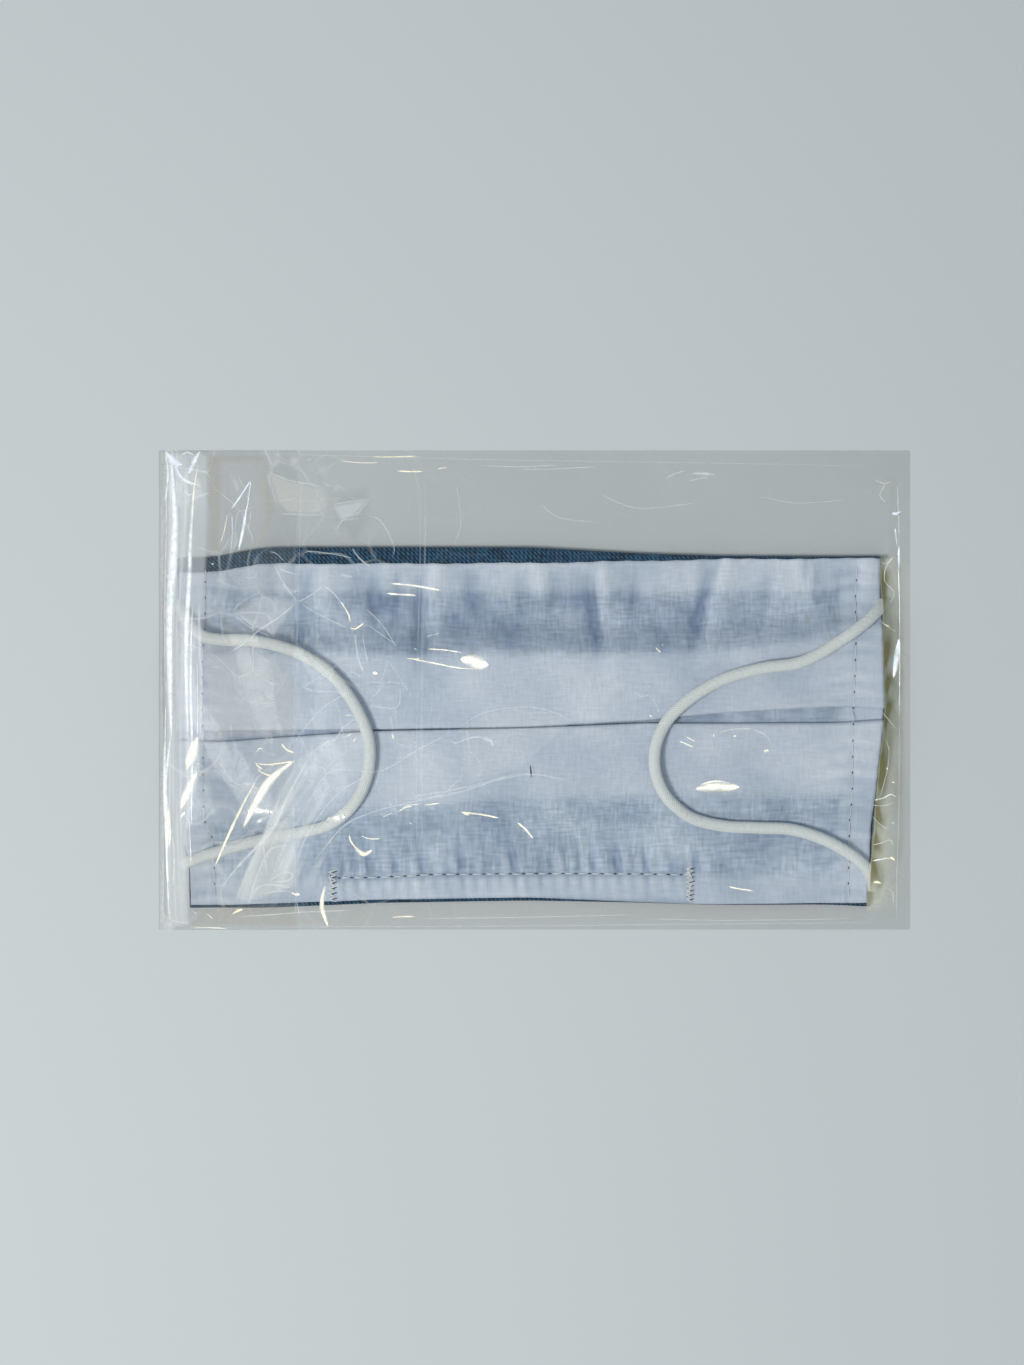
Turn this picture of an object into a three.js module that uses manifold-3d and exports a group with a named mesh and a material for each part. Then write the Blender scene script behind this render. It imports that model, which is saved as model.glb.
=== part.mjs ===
// A pleated cloth face mask, lying with its lining up in a clear film packet.
// Millimetres, +Z up. The origin is the middle of the packet's underside.
import * as THREE from "three";
import { mergeVertices } from "three/addons/utils/BufferGeometryUtils.js";
import Module from "manifold-3d";

// Air kept between two pieces that touch on the real thing
const CLEAR = 0.3;

// The mask, lying in a clear film packet that is larger all round
const MASK = { width: 175.5, length: 85.5 };
const MARGIN = { left: 5.5, right: 8, bottom: 6.5, top: 28.5 };

// The packet: a back panel, a front panel, and a flap folded over the front at the left
const FILM = 0.3;
const PACKET = {
  width: MARGIN.left + MASK.width + MARGIN.right,
  length: MARGIN.bottom + MASK.length + MARGIN.top,
  peak: 11.5,
  seal: 1.5,
};
const CENTRE = { x: (MARGIN.left - MARGIN.right) / 2, y: (MARGIN.bottom - MARGIN.top) / 2 };
const FLAP = { reach: 35, fold: 0.65 };
const RISE = { left: 8, right: 10 };

// How the front panel rises over the mask: up is a share of half the packet's length
const DRAPE = [
  { up: -1, rise: 0 },
  { up: -0.975, rise: 0 },
  { up: -0.9, rise: 0.33 },
  { up: -0.82, rise: 0.48 },
  { up: -0.72, rise: 0.64 },
  { up: -0.62, rise: 0.83 },
  { up: -0.52, rise: 1 },
  { up: 0.2, rise: 1 },
  { up: 0.3, rise: 0.98 },
  { up: 0.4, rise: 0.72 },
  { up: 0.5, rise: 0.44 },
  { up: 0.6, rise: 0.31 },
  { up: 0.7, rise: 0.07 },
  { up: 0.8, rise: 0.01 },
  { up: 1, rise: 0 },
];

// Its two cloths, the strips of the outer one that show, its pleats, hems and channel
const CLOTH = { wall: 1, folded: 0.12, stacked: 0.35 };
const REVEAL = { top: 4, side: 0.5, bottom: 0.8, least: 1.6 };
const PANEL = { length: 35.5, up: 2 };
const PLEAT = { depth: 17.75, slit: 4, ramp: 3.6 };
const HEM = { width: 8, lift: 0.25 };
const CHANNEL = { left: -50, right: 40, lift: 0.5 };
const GATHER = 0.3;

// Elastic ear loops: sewn in the side seams, laid back over the lining
const CORD = { diameter: 3, sides: 8, steps: 40 };

// How the cloth's edges and folds run from the left side to the right one.
// across: share of half the mask's width. top, bottom: shares of its length.
// upper, lower: shifts of the pleats' hidden folds, shares of a pleat's depth.
// slit: height of the line where the pleats meet, share of the panel's length.
// open: share of the slit's width. reveal: share of the outer cloth's strip at the top.
const RUN = [
  { across: -1, top: -0.026, reveal: 0.87, upper: 0, slit: -0.073, open: 0.72, lower: -0.38, bottom: 0 },
  { across: -0.91, top: -0.025, reveal: 0.87, upper: 0, slit: -0.073, open: 0.7, lower: -0.37, bottom: 0 },
  { across: -0.76, top: 0, reveal: 1, upper: 0, slit: -0.058, open: 0.47, lower: -0.3, bottom: 0.003 },
  { across: -0.44, top: 0, reveal: 1, upper: 0, slit: -0.028, open: 0.06, lower: -0.14, bottom: 0.016 },
  { across: 0, top: 0.002, reveal: 0.97, upper: 0, slit: -0.008, open: 0.04, lower: -0.014, bottom: 0.023 },
  { across: 0.32, top: 0.008, reveal: 0.45, upper: 0.02, slit: 0.031, open: 0.12, lower: 0.025, bottom: 0.009 },
  { across: 0.54, top: 0.013, reveal: 0.2, upper: 0.04, slit: 0.056, open: 0.62, lower: 0.028, bottom: 0 },
  { across: 0.88, top: 0.015, reveal: 0.15, upper: 0.27, slit: 0.082, open: 1, lower: 0.028, bottom: 0.005 },
  { across: 1, top: 0.015, reveal: 0.2, upper: 0.32, slit: 0.083, open: 1, lower: 0.028, bottom: 0.006 },
];

// How the sides run from the top edge to the bottom one, as shares of half the mask's size
const SIDES = [
  { up: -1, left: -0.966, right: 0.963 },
  { up: -0.77, left: -0.969, right: 0.969 },
  { up: -0.56, left: -0.99, right: 0.974 },
  { up: -0.39, left: -0.994, right: 0.977 },
  { up: -0.15, left: -0.996, right: 0.989 },
  { up: 0.14, left: -0.998, right: 1.006 },
  { up: 0.55, left: -1, right: 1 },
  { up: 1, left: -1, right: 1 },
];

// Sections across each cloth and film, and straight stretches in a half turn of a fold
const COUNT = { lining: 30, outer: 18, filmX: 26, filmY: 18, turn: 3 };

const wasm = await Module();
wasm.setup();

const clamp01 = (t) => Math.min(1, Math.max(0, t));
const mix = THREE.MathUtils.lerp;

// A row of a table at any place between its rows
function rowAt(table, key, at) {
  const next = table.findIndex((row) => row[key] >= at);
  if (next === 0) return table[0];
  if (next < 0) return table[table.length - 1];
  const [a, b] = [table[next - 1], table[next]];
  const t = (at - a[key]) / (b[key] - a[key]);
  return Object.fromEntries(Object.keys(a).map((name) => [name, mix(a[name], b[name], t)]));
}

// A closed sheet from rows of points on its two faces: rows[i][k] = { upper, lower }
function sheetGeometry(rows) {
  const [across, along] = [rows.length, rows[0].length];
  const points = rows.flatMap((row) => row.flatMap((p) => [p.upper, p.lower]));
  const positions = points.flatMap((p) => p.toArray());
  const upper = (i, k) => 2 * (i * along + k);
  const lower = (i, k) => upper(i, k) + 1;
  const index = [];
  const span = (a, b) => points[a].distanceTo(points[b]);
  const quad = (a, b, c, d) => {
    index.push(...(span(a, c) < span(b, d) ? [a, b, c, a, c, d] : [a, b, d, b, c, d]));
  };
  for (let i = 0; i < across - 1; i++) {
    for (let k = 0; k < along - 1; k++) {
      quad(upper(i, k), upper(i + 1, k), upper(i + 1, k + 1), upper(i, k + 1));
      quad(lower(i, k), lower(i, k + 1), lower(i + 1, k + 1), lower(i + 1, k));
    }
    quad(upper(i, 0), lower(i, 0), lower(i + 1, 0), upper(i + 1, 0));
    const last = along - 1;
    quad(upper(i, last), upper(i + 1, last), lower(i + 1, last), lower(i, last));
  }
  for (let k = 0; k < along - 1; k++) {
    quad(upper(0, k), upper(0, k + 1), lower(0, k + 1), lower(0, k));
    const end = across - 1;
    quad(upper(end, k), lower(end, k), lower(end, k + 1), upper(end, k + 1));
  }
  const geometry = new THREE.BufferGeometry();
  geometry.setAttribute("position", new THREE.Float32BufferAttribute(positions, 3));
  geometry.setIndex(index);
  geometry.computeVertexNormals();
  return geometry;
}

// The two faces of a wall that follows a line in one plane. The upper face is on the line's left.
function wallAlong(line, wall) {
  const step = (a, b) => new THREE.Vector2(b.x - a.x, b.y - a.y).normalize();
  return line.map((p, k) => {
    const before = k > 0 ? step(line[k - 1], p) : step(p, line[k + 1]);
    const after = k < line.length - 1 ? step(p, line[k + 1]) : before;
    const middle = before.clone().add(after).normalize();
    const reach = wall / 2 / Math.max(0.5, middle.dot(before));
    const side = new THREE.Vector2(-middle.y, middle.x).multiplyScalar(reach);
    return { upper: p.clone().add(side), lower: p.clone().sub(side) };
  });
}

// A half turn from one layer of a fold to the next, without its two ends
function halfTurn(x, low, high, outward, rising) {
  const radius = (high - low) / 2;
  return Array.from({ length: COUNT.turn - 1 }, (_, n) => {
    const angle = ((n + 1) / COUNT.turn - 0.5) * Math.PI * (rising ? 1 : -1);
    return new THREE.Vector2(x + outward * radius * Math.cos(angle), low + radius + radius * Math.sin(angle));
  });
}

// Heights of the middle of each cloth: its single stretch, and the three layers of its pleats
const pitch = CLOTH.wall + CLOTH.folded;
const outerFlat = FILM + CLEAR + CLOTH.wall / 2;
const outerLayers = [0, 1, 2].map((n) => outerFlat + n * pitch);
const liningFlat = outerFlat + CLOTH.wall + CLOTH.stacked;
const liningLayers = outerLayers.map((z) => z + 2 * pitch + CLOTH.wall + CLOTH.stacked);
const foldRadius = pitch / 2;
const foldReach = foldRadius + CLOTH.wall / 2;
const LINING_RAMP = 2 * PLEAT.ramp;

// Heights up the mask, from its own middle, where each cloth turns or ends
function marksAt(across) {
  const row = rowAt(RUN, "across", across);
  const gap = Math.max(CLOTH.folded, row.open * PLEAT.slit) / 2;
  const slit = PANEL.up + row.slit * PANEL.length;
  return {
    top: (0.5 + row.top) * MASK.length,
    outerTop: (0.5 + row.top) * MASK.length + Math.max(REVEAL.least, row.reveal * REVEAL.top),
    foldUp: PANEL.up + PANEL.length / 2 + row.upper * PLEAT.depth,
    meetUp: slit + gap,
    meetDown: slit - gap,
    foldDown: PANEL.up - PANEL.length / 2 + row.lower * PLEAT.depth,
    bottom: (row.bottom - 0.5) * MASK.length,
  };
}

// The pleated stretch of a cloth, from above its upper hidden fold to below its lower one
function pleatLine(marks, flat, layers, ramp) {
  const [low, mid, high] = layers;
  const at = (x, y) => new THREE.Vector2(x, y);
  const knee = foldReach / 2;
  return [
    at(marks.foldUp + knee + ramp, flat),
    at(marks.foldUp + knee, high),
    at(marks.meetUp + foldReach, high),
    ...halfTurn(marks.meetUp + foldReach, mid, high, -1, false),
    at(marks.meetUp + foldReach, mid),
    at(marks.foldUp - foldReach, mid),
    ...halfTurn(marks.foldUp - foldReach, low, mid, 1, false),
    at(marks.foldUp - foldReach, low),
    at(marks.foldDown + foldReach, low),
    ...halfTurn(marks.foldDown + foldReach, low, mid, -1, true),
    at(marks.foldDown + foldReach, mid),
    at(marks.meetDown - foldReach, mid),
    ...halfTurn(marks.meetDown - foldReach, mid, high, 1, true),
    at(marks.meetDown - foldReach, high),
    at(marks.foldDown - knee, high),
    at(marks.foldDown - knee - ramp, flat),
  ];
}

// A cloth lofted through sections from the mask's right side to its left. lineAt gives a section's
// middle line, as (up the mask, height), and the table of the sides sets its faces out sideways.
function clothGeometry(count, lineAt, sideReveal) {
  const rows = Array.from({ length: count + 1 }, (_, i) => {
    const across = 1 - (2 * i) / count;
    return wallAlong(lineAt(across, i), CLOTH.wall).map((faces) => {
      const place = (p) => {
        const side = rowAt(SIDES, "up", p.x / (MASK.length / 2));
        const half = MASK.width / 2;
        const x = mix(side.left * half - sideReveal, side.right * half + sideReveal, (across + 1) / 2);
        return new THREE.Vector3(x + CENTRE.x, p.x + CENTRE.y, p.y);
      };
      return { upper: place(faces.lower), lower: place(faces.upper) };
    });
  });
  return sheetGeometry(rows);
}

// Outer cloth: rolled over the top seam, pleated, and a little larger than the lining
function outerLine(across) {
  const marks = marksAt(across);
  const at = (x, y) => new THREE.Vector2(x, y);
  const radius = (liningFlat - outerFlat) / 2;
  const turn = marks.outerTop - radius - CLOTH.wall / 2;
  const rolled = Math.min(turn - CLEAR / 4, marks.top + CLEAR);
  return [
    at(rolled, liningFlat),
    at(turn, liningFlat),
    ...halfTurn(turn, outerFlat, liningFlat, 1, false),
    at(turn, outerFlat),
    ...pleatLine(marks, outerFlat, outerLayers, PLEAT.ramp),
    at(marks.bottom + HEM.width, outerFlat),
    at(marks.bottom + HEM.width / 2, outerFlat),
    at(marks.bottom - REVEAL.bottom, outerFlat),
  ];
}

// Lining: its top edge is gathered, and a channel is sewn along its bottom edge
function liningLine(across, section) {
  const marks = marksAt(across);
  const at = (x, y) => new THREE.Vector2(x, y);
  const x = (across * MASK.width) / 2;
  const inChannel = x > CHANNEL.left && x < CHANNEL.right ? 1 : 0;
  const gathered = GATHER * (section % 2);
  const channelLift = inChannel * (CHANNEL.lift + gathered);
  return [
    at(marks.top, liningFlat + HEM.lift / 2),
    at(marks.top - HEM.width / 2, liningFlat + HEM.lift + gathered),
    at(marks.top - HEM.width, liningFlat + gathered),
    ...pleatLine(marks, liningFlat, liningLayers, LINING_RAMP),
    at(marks.bottom + HEM.width, liningFlat + inChannel * gathered),
    at(marks.bottom + HEM.width / 2, liningFlat + HEM.lift + channelLift),
    at(marks.bottom, liningFlat + HEM.lift / 2),
  ];
}

// Places from a high edge down to a low one: the two seals, and between them closer near the ends
function places(count, low, high) {
  const between = Array.from({ length: count + 1 }, (_, n) => {
    const t = 1 - (2 * n) / count;
    const share = (mix(t, Math.sin((t * Math.PI) / 2), 0.7) + 1) / 2;
    return mix(low + PACKET.seal, high - PACKET.seal, share);
  });
  return [high, ...between, low];
}

// Height of the front panel's middle: it lies over the mask and falls to its seals
function drapeHeight(x, y) {
  const fall = (distance, slope) => (1 - clamp01((distance - PACKET.seal) / slope)) ** 2;
  const [halfX, halfY] = [PACKET.width / 2, PACKET.length / 2];
  const sides = (1 - fall(halfX + x, RISE.left)) * (1 - fall(halfX - x, RISE.right));
  return mix(FILM + CLEAR + FILM / 2, PACKET.peak - FILM / 2, sides * rowAt(DRAPE, "up", y / halfY).rise);
}

// Front panel: its middle line from the right fold to the mouth, inside the folded flap
const mouth = -PACKET.width / 2 + FILM / 2 + FLAP.fold;

function frontLine(y) {
  const across = places(COUNT.filmX, mouth, PACKET.width / 2);
  return across.map((x) => new THREE.Vector2(x, drapeHeight(x, y)));
}

// Back panel: flat on the table, then turned over at the left as the flap, clear of the front
function backLine(y) {
  const flapEnd = -PACKET.width / 2 + FLAP.reach;
  const under = frontLine(y).filter((p) => p.x < flapEnd).reverse();
  const flap = wallAlong(under, 2 * FLAP.fold).map((faces) => faces.upper);
  return [
    new THREE.Vector2(PACKET.width / 2, FILM / 2),
    new THREE.Vector2(mouth, FILM / 2),
    ...halfTurn(mouth, FILM / 2, FILM / 2 + 2 * FLAP.fold, -1, true),
    ...flap,
  ];
}

// A film lofted through sections down the packet, each following its middle line as (x, height)
function filmGeometry(lineAt) {
  const rows = places(COUNT.filmY, -PACKET.length / 2, PACKET.length / 2).map((y) => {
    return wallAlong(lineAt(y), FILM).map((faces) => ({
      upper: new THREE.Vector3(faces.upper.x, y, faces.upper.y),
      lower: new THREE.Vector3(faces.lower.x, y, faces.lower.y),
    }));
  });
  return sheetGeometry(rows);
}

// Routes of the two ear loops: in from the mask's side, up from its middle, and the share of the
// way from the side seam, 0, onto the lining, 1
const RIGHT_LOOP = [
  [-0.4, 32.6, 0], [0, 31.8, 0.45], [1.2, 30.6, 0.85], [3.6, 28.4, 1], [7.5, 25.4, 1],
  [11.7, 22.6, 1], [16.6, 19.6, 1], [21.7, 17.6, 1], [30, 16.4, 1], [40, 13.5, 1],
  [48.5, 8.4, 1], [53.9, 3, 1], [56.5, -3, 1], [56.6, -9, 1], [54.5, -14.5, 1],
  [51.2, -18.2, 1], [46.5, -21.2, 1], [38.7, -23, 1], [30.5, -23.4, 1], [22.5, -23.8, 1],
  [15, -26, 1], [10, -28.5, 1], [6.2, -31, 0.95], [3.5, -33.6, 0.75], [1.9, -36.6, 0.35],
  [1.8, -39, 0],
];
const LEFT_LOOP = [
  [0.1, 32.8, 0], [0.5, 31.4, 0.45], [1.6, 29.4, 0.85], [3.8, 26.4, 1], [6.8, 24.3, 1],
  [11.4, 23.5, 1], [17.5, 23.4, 1], [24, 22.3, 1], [31, 19.9, 1], [37, 16.2, 1],
  [41.6, 11.4, 1], [45.4, 5.4, 1], [47.8, -1, 1], [48, -7.4, 1], [46.2, -13.8, 1],
  [42.8, -18.8, 1], [37.6, -22.6, 1], [31, -24.4, 1], [24, -25.6, 1], [17.4, -27.2, 1],
  [11, -29.1, 1], [6.4, -30.5, 0.98], [2.6, -31.9, 0.7], [0.8, -32.7, 0],
];

// Top of the lining at a place of the packet's plane
function liningTop(x, y) {
  const up = y - CENTRE.y;
  const side = rowAt(SIDES, "up", up / (MASK.length / 2));
  const at = (2 * (x - CENTRE.x)) / MASK.width;
  const across = clamp01((at - side.left) / (side.right - side.left)) * 2 - 1;
  const line = liningLine(across, 1);
  const heights = line.slice(1).map((q, k) => {
    const p = line[k];
    const run = q.x - p.x || 1;
    const t = (up - p.x) / run;
    const half = (CLOTH.wall / 2) * Math.hypot(1, (q.y - p.y) / run);
    return t >= 0 && t <= 1 ? mix(p.y, q.y, t) + half : 0;
  });
  return Math.max(...heights);
}

// Height at which a loop's middle lies on the lining, or in the side seam
function loopHeight(x, y, onto) {
  const reach = CORD.diameter / 2 + CLEAR;
  const shares = [-0.9, -0.6, -0.3, 0, 0.3, 0.6, 0.9];
  const rise = (u, v) => reach * Math.sqrt(Math.max(0, 1 - u * u - v * v));
  const seat = (u, v) => liningTop(x + u * reach, y + v * reach) + rise(u, v);
  const seats = shares.flatMap((u) => shares.map((v) => seat(u, v)));
  return mix(FILM + reach, Math.max(...seats), onto);
}

function solidFrom(geometry) {
  const bare = geometry.clone();
  bare.deleteAttribute("normal");
  bare.deleteAttribute("uv");
  const merged = mergeVertices(bare, 1e-4);
  return new wasm.Manifold(
    new wasm.Mesh({
      numProp: 3,
      vertProperties: merged.attributes.position.array,
      triVerts: new Uint32Array(merged.index.array),
    }),
  );
}

function geometryFrom(solid) {
  const mesh = solid.getMesh();
  const geometry = new THREE.BufferGeometry();
  geometry.setAttribute("position", new THREE.Float32BufferAttribute(mesh.vertProperties, 3));
  geometry.setIndex([...mesh.triVerts]);
  geometry.computeVertexNormals();
  return geometry;
}

// The mask's body with half the clearance round it, which trims the loops' ends
function seamBlock() {
  const reach = REVEAL.side + CLEAR;
  const rows = Array.from({ length: COUNT.lining + 1 }, (_, i) => {
    const across = 1 - (2 * i) / COUNT.lining;
    const marks = marksAt(across);
    const knee = foldReach / 2;
    const outline = [
      [marks.outerTop, liningFlat],
      [marks.foldUp + knee + LINING_RAMP, liningFlat],
      [marks.foldUp + knee, liningLayers[2]],
      [marks.foldDown - knee, liningLayers[2]],
      [marks.foldDown - knee - LINING_RAMP, liningFlat],
      [marks.bottom + HEM.width, liningFlat],
      [marks.bottom + HEM.width / 2, liningFlat + HEM.lift],
      [marks.bottom - REVEAL.bottom, liningFlat + HEM.lift],
    ];
    return outline.map(([up, z]) => {
      const side = rowAt(SIDES, "up", up / (MASK.length / 2));
      const half = MASK.width / 2;
      const x = mix(side.left * half - reach, side.right * half + reach, (across + 1) / 2) + CENTRE.x;
      const top = z + CLOTH.wall / 2 + CLEAR / 2;
      return { upper: new THREE.Vector3(x, up + CENTRE.y, top), lower: new THREE.Vector3(x, up + CENTRE.y, 0) };
    });
  });
  return sheetGeometry(rows);
}

// Knitted elastic, cut off where it goes into the side seam
function loopGeometry(route, side) {
  const points = route.map(([inward, up, onto]) => {
    const x = CENTRE.x + side * (MASK.width / 2 - inward);
    const y = CENTRE.y + up;
    return new THREE.Vector3(x, y, loopHeight(x, y, onto));
  });
  const path = new THREE.CatmullRomCurve3(points, false, "centripetal");
  const ring = Array.from({ length: CORD.sides }, (_, n) => {
    const angle = ((n + 0.5) / CORD.sides) * 2 * Math.PI;
    return new THREE.Vector2(Math.cos(angle), Math.sin(angle)).multiplyScalar(CORD.diameter / 2);
  });
  const tube = new THREE.ExtrudeGeometry(new THREE.Shape(ring), {
    steps: CORD.steps,
    extrudePath: path,
  });
  return geometryFrom(solidFrom(tube).subtract(solidFrom(seamBlock())));
}

const navy = new THREE.MeshStandardMaterial({ color: 0x1f3d5c, roughness: 0.9, metalness: 0 });
const white = new THREE.MeshStandardMaterial({ color: 0xdde3ee, roughness: 0.85, metalness: 0 });
const elastic = new THREE.MeshStandardMaterial({ color: 0xe9e8e0, roughness: 0.8, metalness: 0 });
const film = new THREE.MeshStandardMaterial({
  color: 0xf4f3ee,
  roughness: 0.08,
  metalness: 0,
  transparent: true,
  opacity: 0.15,
});

function piece(name, geometry, material) {
  const mesh = new THREE.Mesh(geometry, material);
  mesh.name = name;
  return mesh;
}

const mask = new THREE.Group();
mask.add(
  piece("outer_cloth", clothGeometry(COUNT.outer, outerLine, REVEAL.side), navy),
  piece("lining", clothGeometry(COUNT.lining, liningLine, 0), white),
  piece("ear_loop_right", loopGeometry(RIGHT_LOOP, 1), elastic),
  piece("ear_loop_left", loopGeometry(LEFT_LOOP, -1), elastic),
);

const packet = new THREE.Group();
packet.add(
  piece("packet_back_and_flap", filmGeometry(backLine), film),
  piece("packet_front", filmGeometry(frontLine), film),
);

const packedMask = new THREE.Group();
packedMask.add(mask, packet);

export default packedMask;
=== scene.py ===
# A pleated cloth face mask, lying lining side up in a clear film packet on a pale table.
import math

import bpy
import numpy as np
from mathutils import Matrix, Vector
from mathutils.bvhtree import BVHTree


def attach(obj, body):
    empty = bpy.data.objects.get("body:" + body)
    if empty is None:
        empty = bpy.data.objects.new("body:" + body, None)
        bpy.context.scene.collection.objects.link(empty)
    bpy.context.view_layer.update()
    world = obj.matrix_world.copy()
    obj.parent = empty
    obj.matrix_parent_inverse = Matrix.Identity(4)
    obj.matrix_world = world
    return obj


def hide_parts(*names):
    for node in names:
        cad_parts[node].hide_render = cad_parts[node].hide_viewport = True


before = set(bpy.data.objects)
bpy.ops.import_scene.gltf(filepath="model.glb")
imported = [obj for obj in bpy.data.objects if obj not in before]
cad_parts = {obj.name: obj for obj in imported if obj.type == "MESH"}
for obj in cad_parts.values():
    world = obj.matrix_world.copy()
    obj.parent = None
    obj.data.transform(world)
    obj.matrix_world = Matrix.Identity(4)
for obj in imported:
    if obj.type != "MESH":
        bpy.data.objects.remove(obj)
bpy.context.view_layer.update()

# ---- Outer cloth ----
# One panel of navy cotton twill, the side of the mask that faces the world. It lies face down
# here, folded into two pleats that meet, and shows only where it stands proud of the lining.
MM = 0.001
CENTRE = np.array([-1.25, -11.0])
MASK_WIDTH, MASK_LENGTH = 175.5, 85.5
PANEL_LENGTH, PANEL_UP = 35.5, 2.0
PLEAT_DEPTH, SLIT_WIDTH = 17.75, 4.0
REVEAL_TOP, REVEAL_SIDE, REVEAL_BOTTOM = 4.0, 0.5, 1.05

# How the edges and folds run across the mask, as shares of half its width, its length,
# the panel's length, a pleat's depth and the slit's width
run = {
    "across": [-1.0, -0.91, -0.84, -0.76, -0.44, 0.0, 0.32, 0.54, 0.88, 1.0],
    "top": [-0.026, -0.025, -0.014, 0.0, 0.0, 0.002, 0.008, 0.013, 0.015, 0.015],
    "reveal": [0.87, 0.87, 0.95, 1.0, 1.02, 0.97, 0.45, 0.2, 0.12, 0.14],
    "upper": [0.0, 0.0, 0.0, 0.0, 0.0, 0.0, 0.02, 0.04, 0.27, 0.32],
    "slit": [-0.073, -0.073, -0.068, -0.058, -0.028, -0.008, 0.031, 0.056, 0.082, 0.083],
    "open": [0.3, 0.66, 0.62, 0.47, 0.06, 0.05, 0.12, 0.62, 1.0, 0.6],
    "lower": [-0.38, -0.37, -0.34, -0.3, -0.14, -0.014, 0.025, 0.028, 0.028, 0.028],
    "bottom": [0.0, 0.0, 0.001, 0.003, 0.016, 0.023, 0.009, 0.0, 0.005, 0.006],
    "under": [0.9, 0.8, 1.0, 1.1, 1.0, 1.0, 0.35, 0.2, 0.5, 1.1],
}
sides = {
    "up": [-1.0, -0.77, -0.56, -0.39, -0.15, 0.14, 0.55, 1.0],
    "left": [-0.966, -0.969, -0.99, -0.994, -0.996, -0.998, -1.0, -1.0],
    "right": [0.963, 0.969, 0.974, 0.977, 0.989, 1.006, 1.0, 1.0],
}


def eased(table, key, column, at):
    """A column of a table at these places, with its corners rounded."""
    near = [np.interp(at + shift, table[key], table[column]) for shift in np.linspace(-0.05, 0.05, 9)]
    return np.mean(near, axis=0)


def fold_marks(across):
    """Heights up the mask, from its middle, where the cloth turns or ends at these stations."""
    gap = np.maximum(0.2, eased(run, "across", "open", across) * SLIT_WIDTH) / 2
    slit = PANEL_UP + eased(run, "across", "slit", across) * PANEL_LENGTH
    top = (0.5 + eased(run, "across", "top", across)) * MASK_LENGTH
    return {
        "top": top,
        "outer_top": top + np.maximum(0.5, eased(run, "across", "reveal", across) * REVEAL_TOP),
        "fold_up": PANEL_UP + PANEL_LENGTH / 2 + eased(run, "across", "upper", across) * PLEAT_DEPTH,
        "meet_up": slit + gap,
        "meet_down": slit - gap,
        "fold_down": PANEL_UP - PANEL_LENGTH / 2 + eased(run, "across", "lower", across) * PLEAT_DEPTH,
        "bottom": (eased(run, "across", "bottom", across) - 0.5) * MASK_LENGTH,
        "under": eased(run, "across", "under", across) * REVEAL_BOTTOM,
    }


def stretch(up_from, up_to, z_from, z_to, count, soft=0.0):
    """A stretch of the cloth's middle line: rows of (up, height), its last point left out."""
    t = np.arange(count) / count
    rise = (1 - soft) * t + soft * t * t * (3 - 2 * t)
    up = up_from[:, None] + (up_to - up_from)[:, None] * t
    return np.stack([up, z_from + (z_to - z_from) * np.broadcast_to(rise, up.shape)], axis=-1)


def half_turn(up, low, high, outward, rising, count=6):
    """A fold: the half circle that takes the cloth from one layer to the next."""
    radius = (high - low) / 2
    angle = (np.arange(count) / count - 0.5) * math.pi * (1 if rising else -1)
    rounded = up[:, None] + outward * radius * np.cos(angle)
    return np.stack([rounded, np.broadcast_to(low + radius + radius * np.sin(angle), rounded.shape)], axis=-1)


def pleats(marks, flat, layers, ramp, fine):
    """Both pleats, from the single cloth above the upper one to the single cloth below the lower."""
    low, mid, high = layers
    reach = (high - mid) / 2 + 0.4
    knee = reach / 2
    up, down, meet_up, meet_down = (marks[k] for k in ("fold_up", "fold_down", "meet_up", "meet_down"))
    return [
        stretch(up + knee + ramp, up + knee, flat, high, fine, 0.5),
        stretch(up + knee, meet_up + reach, high, high, 3 * fine),
        half_turn(meet_up + reach, mid, high, -1, False),
        stretch(meet_up + reach, up - reach, mid, mid, 5),
        half_turn(up - reach, low, mid, 1, False),
        stretch(up - reach, down + reach, low, low, 3 * fine),
        half_turn(down + reach, low, mid, -1, True),
        stretch(down + reach, meet_down - reach, mid, mid, 5),
        half_turn(meet_down - reach, mid, high, 1, True),
        stretch(meet_down - reach, down - knee, high, high, 3 * fine),
        stretch(down - knee, down - knee - ramp, high, flat, fine, 0.5),
    ]


def laid_out(line, across, reveal):
    """Points in the packet's frame of a cloth whose line is (up, height) at each station across."""
    up, z = line[..., 0], line[..., 1]
    share = up / (MASK_LENGTH / 2)
    half = MASK_WIDTH / 2
    left = eased(sides, "up", "left", share) * half - reveal
    right = eased(sides, "up", "right", share) * half
    right += reveal * (2 + 1.6 * np.exp(-(((share - 0.05) / 0.4) ** 2)))
    x = left + (right - left) * (across[:, None] + 1) / 2
    return np.stack([x + CENTRE[0], up + CENTRE[1], z], axis=-1)


def normals_of(points):
    """Unit normals of a grid of points."""
    n = np.cross(np.gradient(points, axis=0), np.gradient(points, axis=1))
    return n / np.maximum(np.linalg.norm(n, axis=-1, keepdims=True), 1e-9)


def add_object(name, data):
    """A new object in the scene that holds this mesh, lamp or camera."""
    made = bpy.data.objects.new(name, data)
    bpy.context.scene.collection.objects.link(made)
    return made


def keep(mesh, name, field):
    """Keeps one number for every point of a mesh, under a name that its material can read."""
    values = np.asarray(field).reshape(-1).astype(np.float32)
    mesh.attributes.new(name, "FLOAT", "POINT").data.foreach_set("value", values)


def quads_of(rows, cols, start=0):
    """The faces of a grid of points."""
    grid = np.arange(rows * cols).reshape(rows, cols) + start
    return np.stack([grid[:-1, :-1], grid[1:, :-1], grid[1:, 1:], grid[:-1, 1:]], axis=-1).reshape(-1, 4)


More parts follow.
